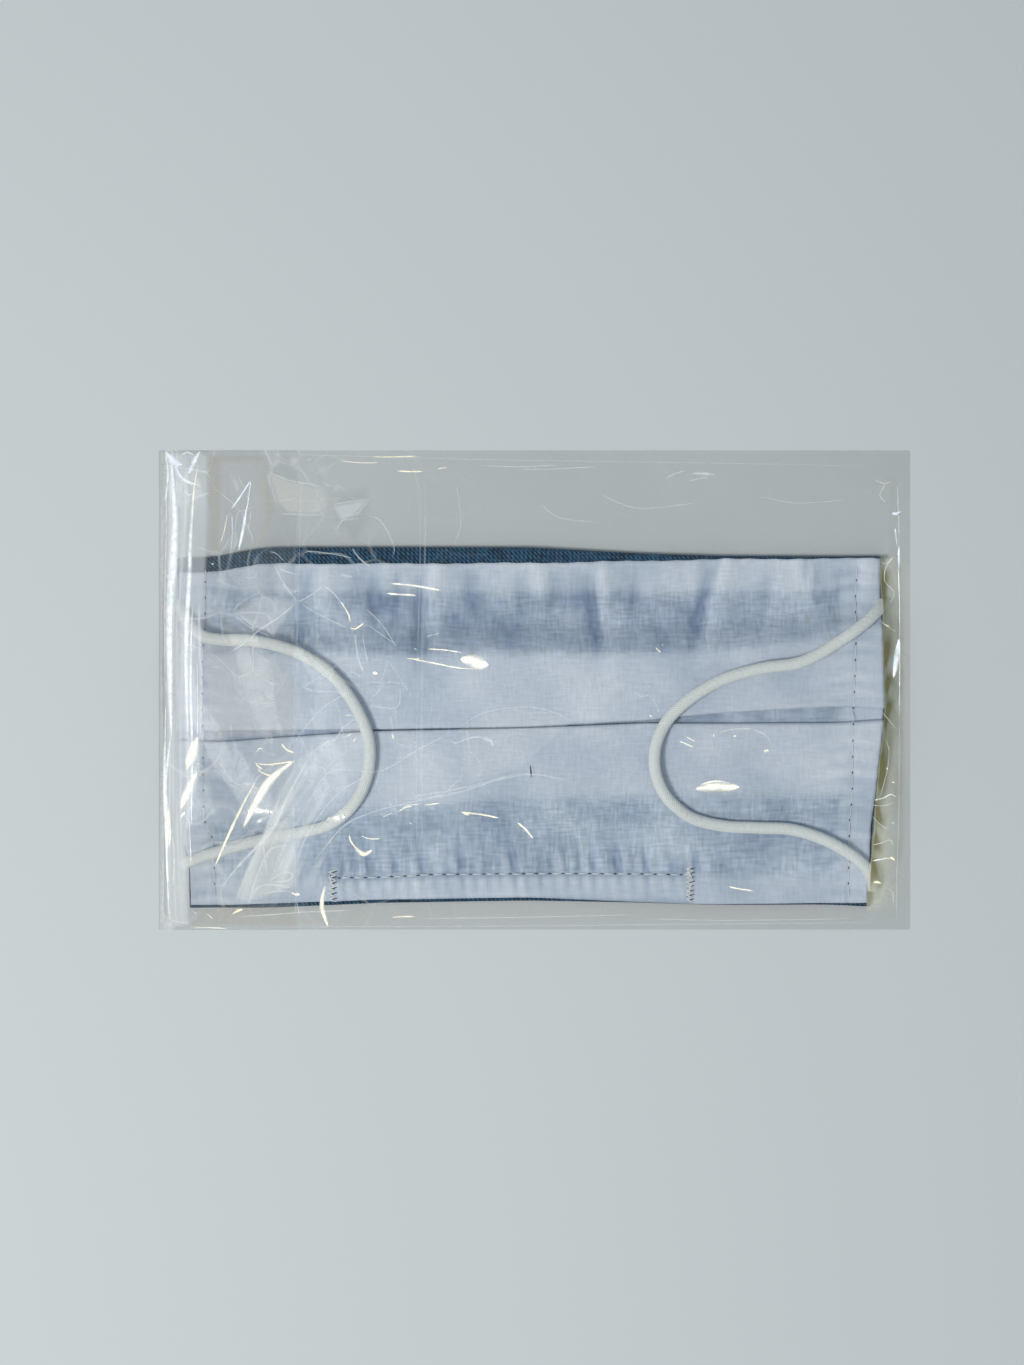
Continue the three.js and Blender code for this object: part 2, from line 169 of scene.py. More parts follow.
def thin_shell(name, points, thickness, values=None):
    """A closed thin sheet round a grid of points in millimetres, with named values at its points."""
    offset = normals_of(points) * thickness / 2
    rows, cols = points.shape[:2]
    verts = np.concatenate([(points + offset).reshape(-1, 3), (points - offset).reshape(-1, 3)]) * MM
    grid = np.arange(rows * cols).reshape(rows, cols)
    under = grid + rows * cols
    quads = quads_of(rows, cols)
    rim = np.concatenate([grid[:, 0], grid[-1, 1:], grid[-2::-1, -1], grid[0, -2:0:-1]])
    rim_next = np.roll(rim, -1)
    walls = np.stack([rim, rim + rows * cols, rim_next + rows * cols, rim_next], axis=-1)
    faces = np.concatenate([quads, under.reshape(-1)[quads[:, ::-1]], walls])
    mesh = bpy.data.meshes.new(name)
    mesh.from_pydata(verts.tolist(), [], faces.tolist())
    mesh.shade_smooth()
    for key, field in (values or {}).items():
        keep(mesh, key, np.stack([field, field]))
    return add_object(name, mesh)


def node(tree, kind, values=None, **settings):
    """A node of a material or group; values are plain numbers or the sockets that feed it."""
    made = tree.nodes.new(kind)
    for key, value in settings.items():
        setattr(made, key, value)
    for key, value in (values or {}).items():
        socket = made.inputs[key]
        if isinstance(value, bpy.types.NodeSocket):
            tree.links.new(value, socket)
        else:
            socket.default_value = value
    return made


def sum_of(tree, operation, *values):
    """The result of one step of arithmetic on numbers."""
    return node(tree, "ShaderNodeMath", dict(enumerate(values)), operation=operation).outputs[0]


def vector_of(tree, operation, values):
    """The result of one step of arithmetic on places or colours."""
    return node(tree, "ShaderNodeVectorMath", values, operation=operation).outputs[0]


def between(tree, factor, first, second):
    """A colour between two others, as far along as the factor says."""
    ends = {"Factor": factor, "A": first, "B": second}
    return node(tree, "ShaderNodeMix", ends, data_type="RGBA").outputs["Result"]


def remap(tree, value, start=0.0, end=1.0, low=0.0, high=1.0):
    """A value moved from the range start to end into the range low to high."""
    return node(tree, "ShaderNodeMapRange", {0: value, 1: start, 2: end, 3: low, 4: high}).outputs[0]


def stored(tree, name):
    """The number that the mesh keeps at its points under this name."""
    return node(tree, "ShaderNodeAttribute", attribute_name=name).outputs["Fac"]


def noise(tree, place, scale, detail, output=0):
    """Soft noise at these places."""
    values = {"Vector": place, "Scale": scale, "Detail": detail}
    return node(tree, "ShaderNodeTexNoise", values).outputs[output]


def places(tree):
    """Where each point lies, in the piece's own frame."""
    return node(tree, "ShaderNodeTexCoord").outputs["Object"]


def new_material(name):
    """A new material, its tree and its shader."""
    made = bpy.data.materials.new(name)
    made.use_nodes = True
    return made, made.node_tree, made.node_tree.nodes["Principled BSDF"]


def effect(name, inputs, outputs):
    """An empty node group with these named inputs and outputs, as (kind, default)."""
    group = bpy.data.node_groups.new(name, "ShaderNodeTree")
    for label, (kind, default) in inputs.items():
        socket = group.interface.new_socket(label, in_out="INPUT", socket_type=kind)
        if default is not None:
            socket.default_value = default
    for label, kind in outputs.items():
        group.interface.new_socket(label, in_out="OUTPUT", socket_type=kind)
    return group, group.nodes.new("NodeGroupInput").outputs, group.nodes.new("NodeGroupOutput").inputs


# Threads of a woven cloth: Height and Tone of a plain weave, or of a twill as Slant goes to 1
weave, given, put = effect(
    "woven_threads",
    {
        "Pitch": ("NodeSocketFloat", 0.0005),
        "Slant": ("NodeSocketFloat", 0.0),
        "Slub": ("NodeSocketFloat", 0.5),
        "Grain": ("NodeSocketFloat", 0.3),
    },
    {"Height": "NodeSocketFloat", "Tone": "NodeSocketFloat"},
)
place = places(weave)
drifted = vector_of(weave, "SUBTRACT", {0: noise(weave, place, 60.0, 2.0, "Color"), 1: (0.5, 0.5, 0.5)})
drifted = vector_of(weave, "SCALE", {0: drifted, "Scale": 0.0012})
drifted = vector_of(weave, "ADD", {0: place, 1: drifted})
axes = node(weave, "ShaderNodeSeparateXYZ", {0: drifted}).outputs
turn = sum_of(weave, "DIVIDE", 2 * math.pi, given["Pitch"])
warp = sum_of(weave, "SINE", sum_of(weave, "MULTIPLY", axes["X"], turn))
weft = sum_of(weave, "SINE", sum_of(weave, "MULTIPLY", axes["Y"], turn))
plain = sum_of(weave, "MULTIPLY", warp, weft)
slanted = sum_of(weave, "ADD", axes["X"], axes["Y"])
twill = sum_of(weave, "SINE", sum_of(weave, "MULTIPLY", slanted, turn))
twill = sum_of(weave, "MULTIPLY", twill, sum_of(weave, "MULTIPLY_ADD", weft, 0.8, 0.7))
mixed = node(weave, "ShaderNodeMix", {"Factor": given["Slant"], "A": plain, "B": twill}).outputs[0]
runs = []
for scale in ((1700.0, 260.0, 260.0), (260.0, 1700.0, 260.0)):
    drawn = vector_of(weave, "MULTIPLY", {0: place, 1: scale})
    runs.append(noise(weave, drawn, 1.0, 2.0))
slubs = sum_of(weave, "SUBTRACT", sum_of(weave, "ADD", *runs), 1.0)
slubs = sum_of(weave, "MULTIPLY", slubs, given["Slub"])
weave.links.new(sum_of(weave, "MULTIPLY_ADD", mixed, 0.35, slubs), put["Height"])
spread = sum_of(weave, "MULTIPLY", slubs, 3.0)
weave.links.new(sum_of(weave, "MULTIPLY_ADD", mixed, given["Grain"], spread), put["Tone"])


def cloth_material(name, pitch, slant, slub, grain):
    """A material with the weave's bump; returns its tree, its shader and the weave's tone."""
    made, tree, shader = new_material(name)
    threads = node(tree, "ShaderNodeGroup", node_tree=weave)
    for label, value in (("Pitch", pitch), ("Slant", slant), ("Slub", slub), ("Grain", grain)):
        threads.inputs[label].default_value = value
    relief = {"Strength": 0.5, "Distance": 0.0001, "Height": threads.outputs["Height"]}
    bump = node(tree, "ShaderNodeBump", relief)
    tree.links.new(bump.outputs[0], shader.inputs["Normal"])
    shader.inputs["Specular IOR Level"].default_value = 0.25
    shader.inputs["Roughness"].default_value = 0.85
    return made, tree, shader, threads.outputs["Tone"]


navy, tree, shader, tone = cloth_material("navy_twill", 0.0011, 1.0, 0.5, 0.8)
flecks = remap(tree, tone, -0.55, 1.15)
shade = between(tree, flecks, (0.0, 0.0, 0.006, 1.0), (0.035, 0.16, 0.30, 1.0))
tree.links.new(shade, shader.inputs["Base Color"])
shader.inputs["Sheen Weight"].default_value = 0.05
shader.inputs["Sheen Roughness"].default_value = 0.5

OUTER_THICK = 0.9
OUTER_FLAT, OUTER_LAYERS, OUTER_ROLL = 1.1, (1.1, 2.35, 3.6), 2.3
LINING_THICK = 0.7
LINING_FLAT, LINING_LAYERS = 2.6, (5.2, 6.14, 7.08)

stations = np.linspace(-1, 1, 150)
marks = fold_marks(stations)
rolled = (OUTER_ROLL - OUTER_FLAT) / 2
turn_up = marks["outer_top"] - rolled - OUTER_THICK / 2
line = np.concatenate(
    [
        stretch(np.minimum(marks["top"] - 0.6, turn_up - 0.1), turn_up, OUTER_ROLL, OUTER_ROLL, 4),
        half_turn(turn_up, OUTER_FLAT, OUTER_ROLL, 1, False),
        stretch(turn_up, marks["fold_up"] + 5, OUTER_FLAT, OUTER_FLAT, 10),
        *pleats(marks, OUTER_FLAT, OUTER_LAYERS, 3.6, 5),
        stretch(marks["fold_down"] - 5, marks["bottom"] - marks["under"], OUTER_FLAT, OUTER_FLAT, 10),
        np.stack([marks["bottom"] - marks["under"], np.full_like(stations, OUTER_FLAT)], axis=-1)[:, None],
    ],
    axis=1,
)
points = laid_out(line, stations, REVEAL_SIDE)[::-1]
outer = thin_shell("outer_cloth_twill", points, OUTER_THICK)
outer.data.materials.append(navy)
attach(outer, "root")
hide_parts("outer_cloth")

# ---- Lining ----
# One panel of white cotton lawn, pleated with the outer cloth. It looks white where its hems and
# pleats double it, and bluish where the navy shows through. Its top edge is gathered.
rng = np.random.default_rng(7)
TOP_FOLDS = {
    "x": [-29.0, -24.5, -15.5, -3.5, 2.0, 13.5, 16.4, 26.0, 44.5, 49.0, -52.0, -40.0, 60.0, 70.0],
    "height": [-0.9, 0.6, -0.6, -0.6, 0.5, -1.1, 0.9, -0.6, -1.1, 0.9, 0.7, -0.7, -0.6, 0.6],
    "reach": [18.0, 18.0, 9.0, 12.0, 10.0, 16.0, 15.0, 12.0, 14.0, 14.0, 10.0, 10.0, 12.0, 10.0],
    "down": [10.0, 10.0, 2.0, 4.0, 2.0, 9.0, 9.0, 8.0, 11.0, 11.0, 6.0, 8.0, 8.0, 6.0],
    "lean": [0.0, 0.0, 0.0, 0.05, 0.0, -0.1, -0.12, 0.1, 0.24, 0.24, 0.1, 0.0, 0.2, 0.1],
}


def gathered(x, down):
    """Lift of the lining where its top edge is drawn in: short folds, and a few long ones."""
    lift = np.zeros_like(x)
    at = -88.0
    while at < 86:
        at += rng.uniform(2.2, 6.0)
        wide, high, reach = rng.uniform(0.8, 2.4), rng.uniform(-0.8, 0.7), rng.uniform(4, 13)
        lean = rng.uniform(-0.15, 0.15)
        lift += high * np.exp(-(((x - at - lean * down) / wide) ** 2)) * np.exp(-((down / reach) ** 2))
    for place_x, height, reach, middle, lean in zip(*TOP_FOLDS.values()):
        fade = np.exp(-(((down - middle) / reach) ** 2))
        lift += height * 0.95 * np.exp(-(((x - place_x + lean * down) / 1.8) ** 2)) * fade
    return lift


def puckered(x, above, pitch):
    """Small creases that a row of stitches pulls into the cloth beside it."""
    phase = 2 * math.pi * x / pitch
    beat = 0.6 + 0.4 * np.sin(phase / 2.7 + 1.0) * np.sin(phase / 7.1)
    side = np.where(above > 0, np.exp(-np.maximum(above, 0) / 5.5), np.exp(np.minimum(above, 0) / 3.0))
    return 0.72 * beat * np.cos(phase + 0.25 * above) * side * (1 - np.exp(-((above / 0.8) ** 2)))


def slack(x, y):
    """Slow undulation of soft cloth that lies loose."""
    waves = [(0.11, 0.05, 0.4), (-0.07, 0.13, 2.0), (0.19, -0.08, 4.4), (0.05, 0.21, 1.1), (0.27, 0.16, 5.2)]
    return sum(np.sin(a * x + b * y + c) for a, b, c in waves) / len(waves)


stations = np.linspace(-1, 1, 236)
marks = fold_marks(stations)
marks["top"] = marks["top"] - 0.16 * np.abs(np.sin(stations * 45)) - 0.1 * np.sin(stations * 19)
RAMP = 7.2
TOP_ROWS, LOW_ROWS, FINE = 20, 26, 9
top_knee = marks["fold_up"] + RAMP + 0.45
low_knee = marks["fold_down"] - RAMP - 0.45
line = np.concatenate(
    [
        stretch(marks["top"], top_knee, LINING_FLAT, LINING_FLAT, TOP_ROWS),
        *pleats(marks, LINING_FLAT, LINING_LAYERS, RAMP, FINE),
        stretch(low_knee, marks["bottom"], LINING_FLAT, LINING_FLAT, LOW_ROWS),
        np.stack([marks["bottom"], np.full_like(stations, LINING_FLAT)], axis=-1)[:, None],
    ],
    axis=1,
)
points = laid_out(line, stations, 0.0)
x, y = points[..., 0], points[..., 1]
columns = np.arange(points.shape[1])
turns = TOP_ROWS + FINE + 3 * FINE
low_start = points.shape[1] - (LOW_ROWS + 1)
low_turns = low_start - FINE - 3 * FINE
on_top = np.broadcast_to((columns < turns) | (columns >= low_turns), x.shape)

# Where the channel's row of stitches and the two side seams run
CHANNEL = {
    "x": [-52.0, -49.0, -38.6, -26.0, 5.0, 31.4, 39.0, 42.0],
    "y": [-47.3, -47.1, -46.9, -46.25, -46.0, -46.1, -46.3, -46.4],
}
SEAM_RIGHT = {"y": [-52.5, -12.5, 12.5, 32.5], "x": [78.6, 79.1, 79.9, 80.9]}
SEAM_LEFT = {"y": [-52.5, -36.0, -32.5, -25.0, 7.5, 32.5], "x": [-79.9, -80.4, -82.1, -82.4, -82.6, -82.4]}
row_y = np.interp(x, CHANNEL["x"], CHANNEL["y"])
in_channel = np.clip((x + 53) / 3, 0, 1) * np.clip((41 - x) / 3, 0, 1)
above_row = y - row_y
down = marks["top"][:, None] + CENTRE[1] - y
gathered_only = np.where(on_top, gathered(x, down) * np.exp(-((down / 26) ** 4)), 0.0)
gathered_only *= np.where(gathered_only < 0, 1 - np.exp(-((np.maximum(down, 0) / 3.2) ** 2)), 1.0)
lift = gathered_only.copy()
# Hollows above the channel's stitches, each with a ridge beside it, where the photo shows them
HOLLOWS = (-40.5, -34.0, -27.4, -17.4, -9.5, -4.9, 3.9, 11.4, 15.0, 20.9, 28.9, 36.0, 40.6)
for at in HOLLOWS:
    hollow = np.exp(-(((x - at + 0.12 * above_row) / 1.5) ** 2) - ((above_row - 2.8) / 2.6) ** 2)
    ridge = np.exp(-(((x - at - 3.0 + 0.2 * above_row) / 1.3) ** 2) - ((above_row - 3.2) / 3.4) ** 2)
    lift -= on_top * 0.75 * hollow * (0.75 + 0.25 * math.sin(at))
    lift += on_top * 0.35 * ridge
lift += on_top * in_channel * puckered(x, above_row, 3.3)
lift += on_top * in_channel * 0.55 * np.clip(-above_row / 1.5, 0, 1) * np.clip((above_row + 6.8) / 1.5, 0, 1)
lift -= on_top * in_channel * 0.35 * np.exp(-((above_row / 0.5) ** 2))
for seam, sign in ((SEAM_RIGHT, 1), (SEAM_LEFT, -1)):
    away = (x - np.interp(y, seam["y"], seam["x"])) * sign
    lift -= on_top * 0.22 * np.exp(-((away / 0.5) ** 2))
    lift += on_top * 0.6 * puckered(y, np.abs(away) + 0.4, 4.0)
lift += on_top * 0.4 * slack(x, y)
lowest = -0.08 - 0.1 * np.maximum(down, 0)
lift = np.where((down < 3) & on_top, np.maximum(lift, lowest), lift)
points[..., 2] += lift

# How doubled the cloth looks: 1 on hems, allowances and pleats, 0 where the navy shows through
fold_up_y = (marks["fold_up"] + CENTRE[1])[:, None]
fold_down_y = (marks["fold_down"] + CENTRE[1])[:, None]
first_pleat = (columns >= TOP_ROWS) & (columns < turns + 6)
last_pleat = (columns >= low_turns - 6) & (columns < low_start)


def edge(distance, width=0.5):
    """A soft step: 0 well before an edge, 1 well past it."""
    return 1 / (1 + np.exp(-np.clip(distance / width, -30, 30)))


doubled = edge(y - 24.6 - 0.5 * slack(x * 3, y))
doubled = np.maximum(doubled, edge(fold_up_y - y) * first_pleat)
doubled = np.maximum(doubled, edge(y - fold_down_y) * last_pleat)
doubled = np.maximum(doubled, edge(-above_row))
doubled = np.maximum(doubled, edge(x - 76.2))
doubled = np.maximum(doubled, edge(-80.6 - x))
lower_half = np.clip((-20 - y) / 10, 0, 1)
# How dark the lining is made: partly the navy showing through where it presses close, partly painted shade in
# the hollows of the gathers, puckers and channel, and a little darker on the lower half
pressed_and_painted_shade = 0.4 - 1.0 * lift + (0.42 - 0.22 * doubled) * slack(x * 1.9 + 5, y * 2.3)
pressed_and_painted_shade = np.clip(pressed_and_painted_shade + 0.6 * in_channel * edge(-above_row) + 0.1 * lower_half, -0.2, 1.3)

lining = thin_shell(
    "lining_lawn",
    points[::-1],
    LINING_THICK,
    {"doubled": doubled[::-1], "lower_half": lower_half[::-1], "pressed_and_painted_shade": pressed_and_painted_shade[::-1]},
)
lawn, tree, shader, tone = cloth_material("white_lawn", 0.00066, 0.0, 0.9, 0.6)
layers_mask = stored(tree, "doubled")
lower_mask = stored(tree, "lower_half")
mottle = sum_of(tree, "MULTIPLY_ADD", noise(tree, places(tree), 210.0, 4.0), 0.8, -0.4)
mottle = sum_of(tree, "MULTIPLY", mottle, sum_of(tree, "MULTIPLY_ADD", layers_mask, -0.75, 1.0))
low = node(tree, "ShaderNodeClamp", {0: sum_of(tree, "ADD", stored(tree, "pressed_and_painted_shade"), mottle)}).outputs[0]
# Each colour darkens with the value above: painted shade in the hollows, and for the single cloth also the
# navy showing through
upper = between(tree, low, (0.49, 0.56, 0.67, 1.0), (0.22, 0.29, 0.41, 1.0))
lower = between(tree, low, (0.54, 0.61, 0.71, 1.0), (0.30, 0.38, 0.50, 1.0))
double = between(tree, low, (0.68, 0.73, 0.81, 1.0), (0.42, 0.49, 0.60, 1.0))
shade = between(tree, layers_mask, between(tree, lower_mask, upper, lower), double)
bright = sum_of(tree, "MULTIPLY_ADD", tone, remap(tree, layers_mask, 0.0, 1.0, 0.27, 0.11), 1.0)
shade = vector_of(tree, "SCALE", {0: shade, "Scale": bright})
tree.links.new(shade, shader.inputs["Base Color"])
shader.inputs["Sheen Weight"].default_value = 0.1
lining.data.materials.append(lawn)
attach(lining, "root")
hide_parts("lining")

# ---- Stitching ----
# White polyester sewing thread: lockstitch down both sides and along the nose channel, a bar tack
# at each end of the channel, and one short tack that marks the middle.
bpy.context.view_layer.update()
surface = BVHTree.FromPolygons(
    [v.co for v in lining.data.vertices], [p.vertices for p in lining.data.polygons]
)


def on_lining(x, y):
    """Height in millimetres of the lining's top at a place in millimetres."""
    hit = surface.ray_cast(Vector((x * MM, y * MM, 0.05)), Vector((0, 0, -1)))
    return hit[0].z / MM if hit[0] else LINING_FLAT


def tube_rings(path, radius, sides_count, radii=None):
    """Rings of points round a path, kept from twisting."""
    path = np.asarray(path, dtype=float)
    ahead = np.gradient(path, axis=0)
    ahead /= np.linalg.norm(ahead, axis=1, keepdims=True)
    aside = np.cross(ahead, [0.0, 0.0, 1.0])
    flat = np.linalg.norm(aside, axis=1) < 1e-3
    aside[flat] = [0.0, 1.0, 0.0]
    aside /= np.linalg.norm(aside, axis=1, keepdims=True)
    above = np.cross(aside, ahead)
    angle = np.arange(sides_count) / sides_count * 2 * math.pi
    size = (np.ones(len(path)) if radii is None else radii)[:, None, None] * radius
    ring = aside[:, None] * np.cos(angle)[:, None] + above[:, None] * np.sin(angle)[:, None]
    return path[:, None] + size * ring


def tube_faces(rings, count, start=0):
    """The faces of a tube made of rings of points, with both ends closed."""
    faces = []
    for r in range(rings - 1):
        for s in range(count):
            a, b = start + r * count + s, start + r * count + (s + 1) % count
            faces.append((a, b, b + count, a + count))
    faces.append(tuple(start + s for s in range(count))[::-1])
    faces.append(tuple(start + (rings - 1) * count + s for s in range(count)))
    return faces


def sewn(name, stitches, radius):
    """One piece of many short stitches, each given by its two ends in millimetres."""
    verts, faces = [], []
    for a, b in stitches:
        t = np.linspace(0, 1, 7)
        place_xy = np.array(a)[None] * (1 - t[:, None]) + np.array(b)[None] * t[:, None]
        top = np.array([on_lining(*p) for p in place_xy])
        z = np.maximum(top, np.linspace(top[0], top[-1], 7)) + radius * (1.6 * np.sin(math.pi * t) - 0.7)
        rings = tube_rings(np.column_stack([place_xy, z]), radius, 6, 0.7 + 0.3 * np.sin(math.pi * t))
        faces += tube_faces(7, 6, len(verts))
        verts += (rings.reshape(-1, 3) * MM).tolist()
    mesh = bpy.data.meshes.new(name)
    mesh.from_pydata(verts, [], faces)
    mesh.shade_smooth()
    piece = add_object(name, mesh)
    mesh.materials.append(thread)
    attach(piece, "root")
    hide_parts("lining")
    return piece


def row_of(points_along, pitch, share, sway=0.0):
    """Stitches along a line: their pitch, the share of it that is thread, and how far they sway."""
    points_along = np.array(points_along, dtype=float)
    steps = np.concatenate([[0], np.cumsum(np.linalg.norm(np.diff(points_along, axis=0), axis=1))])
    made = []
    for at in np.arange(0.4, steps[-1] - pitch, pitch):
        ends = []
        for s in (at + rng.uniform(-0.12, 0.12), at + pitch * share):
            p = [np.interp(s, steps, points_along[:, k]) for k in range(2)]
            ends.append(np.array(p) + rng.uniform(-sway, sway, 2))
        made.append(ends)
    return made


def tack(x, y_from, y_to, wide, count):
    """A bar tack: a narrow zigzag of tight stitches."""
    ys = np.linspace(y_from, y_to, count)
    stitches = []
    for k in range(count - 1):
        turned = wide * (-1) ** k
        start = (x + turned + rng.uniform(-0.2, 0.2), ys[k])
        stitches.append((start, (x - turned + rng.uniform(-0.2, 0.2), ys[k + 1])))
    return stitches


thread, tree, shader = new_material("white_thread")
twist = node(tree, "ShaderNodeTexWave", {"Scale": 900.0, "Distortion": 2.0}, bands_direction="DIAGONAL")
twisted = node(tree, "ShaderNodeBump", {"Strength": 0.5, "Distance": 0.00005, "Height": twist.outputs["Fac"]})
strand = between(tree, twist.outputs["Fac"], (0.74, 0.76, 0.79, 1.0), (0.86, 0.87, 0.89, 1.0))
tree.links.new(strand, shader.inputs["Base Color"])
tree.links.new(twisted.outputs[0], shader.inputs["Normal"])
shader.inputs["Roughness"].default_value = 0.5

rows = {
    "seam_right": row_of(list(zip(SEAM_RIGHT["x"], SEAM_RIGHT["y"])), 4.0, 0.8, 0.05),
    "seam_left": row_of(list(zip(SEAM_LEFT["x"], SEAM_LEFT["y"])), 4.0, 0.8, 0.05),
    "channel": row_of(list(zip(CHANNEL["x"], CHANNEL["y"])), 3.3, 0.6, 0.05),
}
for row_name, radius in (("seam_right", 0.12), ("seam_left", 0.12), ("channel", 0.2)):
    sewn(row_name + "_thread", rows[row_name], radius)
    # Navy marks in the gaps between stitches: dark needle holes, partly the navy cloth showing through and
    # partly painted shade
    pairs = zip(rows[row_name], rows[row_name][1:])
    gaps = [(a[1] * 0.8 + b[0] * 0.2, a[1] * 0.2 + b[0] * 0.8) for a, b in pairs]
    dark = sewn(row_name + "_navy_and_shade", gaps, 0.15)
    dark.data.materials.clear()
    dark.data.materials.append(navy)
tacks = tack(-50.6, -45.0, -53.0, 0.9, 13) + tack(38.9, -44.2, -53.0, 0.9, 17)
tacks += [((38.2, -44.6), (39.6, -47.5)), ((39.6, -47.5), (38.4, -51.0)), ((-51.5, -46.0), (-50.0, -50.5))]
sewn("bar_tacks_thread", tacks, 0.2)
# Navy marks set beside each tack and the middle tack: partly navy showing in the tack, partly painted shadow
# of the raised threads
tack_shade_marks = [((a[0] + 0.35, a[1] - 0.3), (b[0] + 0.2, b[1] - 0.35)) for a, b in tacks[::2]]
tack_shade_marks.append(((-1.05, -18.6), (-0.8, -21.7)))
caught = sewn("bar_tacks_navy_and_shade", tack_shade_marks, 0.12)
caught.data.materials.clear()
caught.data.materials.append(navy)
sewn("middle_tack_thread", [((-1.4, -18.8), (-1.1, -21.4))], 0.13)

# ---- Ear loops ----
# Round knitted elastic, 3 mm thick: soft polyester yarn round rubber, off-white. Both ends are
# caught in the side seams, and each loop is laid back over the lining.
CORD = 3.0
right_route = [
    (86.9, 21.6, 2.10), (86.5, 20.8, 3.85), (85.3, 19.6, 5.99), (82.9, 17.4, 7.92), (79.0, 14.4, 9.27),
    (74.8, 11.6, 9.23), (69.9, 8.6, 9.23), (64.8, 6.6, 9.23), (56.5, 5.4, 9.23), (46.5, 2.5, 9.23),
    (38.0, -2.6, 9.23), (32.6, -8.0, 8.88), (30.0, -14.0, 9.23), (29.9, -20.0, 9.23), (32.0, -25.5, 9.23),
    (35.3, -29.2, 8.14), (40.0, -32.2, 6.27), (47.8, -34.0, 5.14), (56.0, -34.4, 4.89), (64.0, -34.8, 4.75),
    (71.5, -37.0, 4.75), (76.5, -39.5, 4.75), (80.3, -42.0, 4.62), (83.0, -44.6, 4.09), (84.6, -47.6, 3.08),
    (84.7, -50.0, 2.10),
]
left_route = [
    (-88.9, 21.8, 2.10), (-88.5, 20.4, 3.40), (-87.4, 18.4, 4.45), (-85.2, 15.4, 5.82), (-82.2, 13.3, 7.13),
    (-77.6, 12.5, 7.63), (-71.5, 12.4, 7.69), (-65.0, 11.3, 8.37), (-58.0, 8.9, 9.23), (-52.0, 5.2, 9.23),
    (-47.4, 0.4, 9.23), (-43.6, -5.6, 9.23), (-41.2, -12.0, 9.23), (-41.0, -18.4, 9.23), (-42.8, -24.8, 9.23),
    (-46.2, -29.8, 9.23), (-51.4, -33.6, 7.98), (-58.0, -35.4, 7.29), (-65.0, -36.6, 7.00),
    (-71.6, -38.2, 6.42), (-78.0, -40.1, 5.65), (-82.6, -41.5, 4.86), (-86.4, -42.9, 3.96),
    (-88.2, -43.7, 2.10),
]


def smooth_route(route, step):
    """A centripetal curve through the route's points, sampled at equal steps."""
    p = np.array(route, dtype=float)
    p = np.vstack([2 * p[0] - p[1], p, 2 * p[-1] - p[-2]])
    fine = []
    for a, b, c, d in zip(p, p[1:], p[2:], p[3:]):
        k = np.cumsum([0] + [np.linalg.norm(q - r) ** 0.5 for q, r in ((b, a), (c, b), (d, c))])
        for t in np.linspace(k[1], k[2], 40, endpoint=False):
            a1 = (k[1] - t) / (k[1] - k[0]) * a + (t - k[0]) / (k[1] - k[0]) * b
            a2 = (k[2] - t) / (k[2] - k[1]) * b + (t - k[1]) / (k[2] - k[1]) * c
            a3 = (k[3] - t) / (k[3] - k[2]) * c + (t - k[2]) / (k[3] - k[2]) * d
            b1 = (k[2] - t) / (k[2] - k[0]) * a1 + (t - k[0]) / (k[2] - k[0]) * a2
            b2 = (k[3] - t) / (k[3] - k[1]) * a2 + (t - k[1]) / (k[3] - k[1]) * a3
            fine.append((k[2] - t) / (k[2] - k[1]) * b1 + (t - k[1]) / (k[2] - k[1]) * b2)
    fine = np.array(fine + [p[-2]])
    length = np.concatenate([[0], np.cumsum(np.linalg.norm(np.diff(fine, axis=0), axis=1))])
    at = np.linspace(0, length[-1], int(length[-1] / step) + 1)
    return np.column_stack([np.interp(at, length, fine[:, k]) for k in range(3)]), length[-1]


def ear_loop(name, route, replaced):
    """A loop of knitted elastic along its route, with fine ribs of knitting round it."""
    path, length = smooth_route(route, 0.4)
    around = 24
    rings = tube_rings(path, CORD / 2, around)
    count = len(path)
    at = np.arange(count)[:, None] * 0.4
    angle = np.arange(around)[None] / around * 2 * math.pi
    knit = 0.03 * np.sin(2 * math.pi * at / 1.6 + 3 * angle) + 0.03 * np.sin(6 * angle)
    middle = path[:, None]
    outward = (rings - middle) / (CORD / 2)
    rings = rings + outward * (knit[..., None] - 0.03)
    mesh = bpy.data.meshes.new(name)
    mesh.from_pydata((rings.reshape(-1, 3) * MM).tolist(), [], tube_faces(count, around))
    mesh.shade_smooth()
    keep(mesh, "along", np.broadcast_to(at, (count, around)) * MM)
    keep(mesh, "around", np.broadcast_to(np.abs(angle - math.pi) / math.pi, (count, around)))
    piece = add_object(name, mesh)
    mesh.materials.append(elastic)
    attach(piece, "root")
    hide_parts(replaced)
    return piece


elastic, tree, shader = new_material("knitted_elastic")
RIB_PITCH = 0.0007
around = stored(tree, "around")
ribs = sum_of(tree, "MULTIPLY", stored(tree, "along"), 2 * math.pi / RIB_PITCH)
ribs = sum_of(tree, "SINE", sum_of(tree, "ADD", ribs, sum_of(tree, "MULTIPLY", around, 9.0)))
wales = sum_of(tree, "SINE", sum_of(tree, "MULTIPLY", around, 44.0))
knit = sum_of(tree, "MULTIPLY", ribs, wales)
fuzz = noise(tree, places(tree), 1400.0, 4.0)
height = sum_of(tree, "MULTIPLY_ADD", knit, 0.4, fuzz)
bump = node(tree, "ShaderNodeBump", {"Strength": 0.8, "Distance": 0.0002, "Height": height})
tree.links.new(bump.outputs[0], shader.inputs["Normal"])
yarn = between(tree, fuzz, (0.70, 0.73, 0.72, 1.0), (0.92, 0.935, 0.91, 1.0))
tree.links.new(yarn, shader.inputs["Base Color"])
shader.inputs["Roughness"].default_value = 0.8
shader.inputs["Specular IOR Level"].default_value = 0.3
shader.inputs["Sheen Weight"].default_value = 0.3
shader.inputs["Sheen Roughness"].default_value = 0.4
ear_loop("ear_loop_right_elastic", right_route, "ear_loop_right")
ear_loop("ear_loop_left_elastic", left_route, "ear_loop_left")

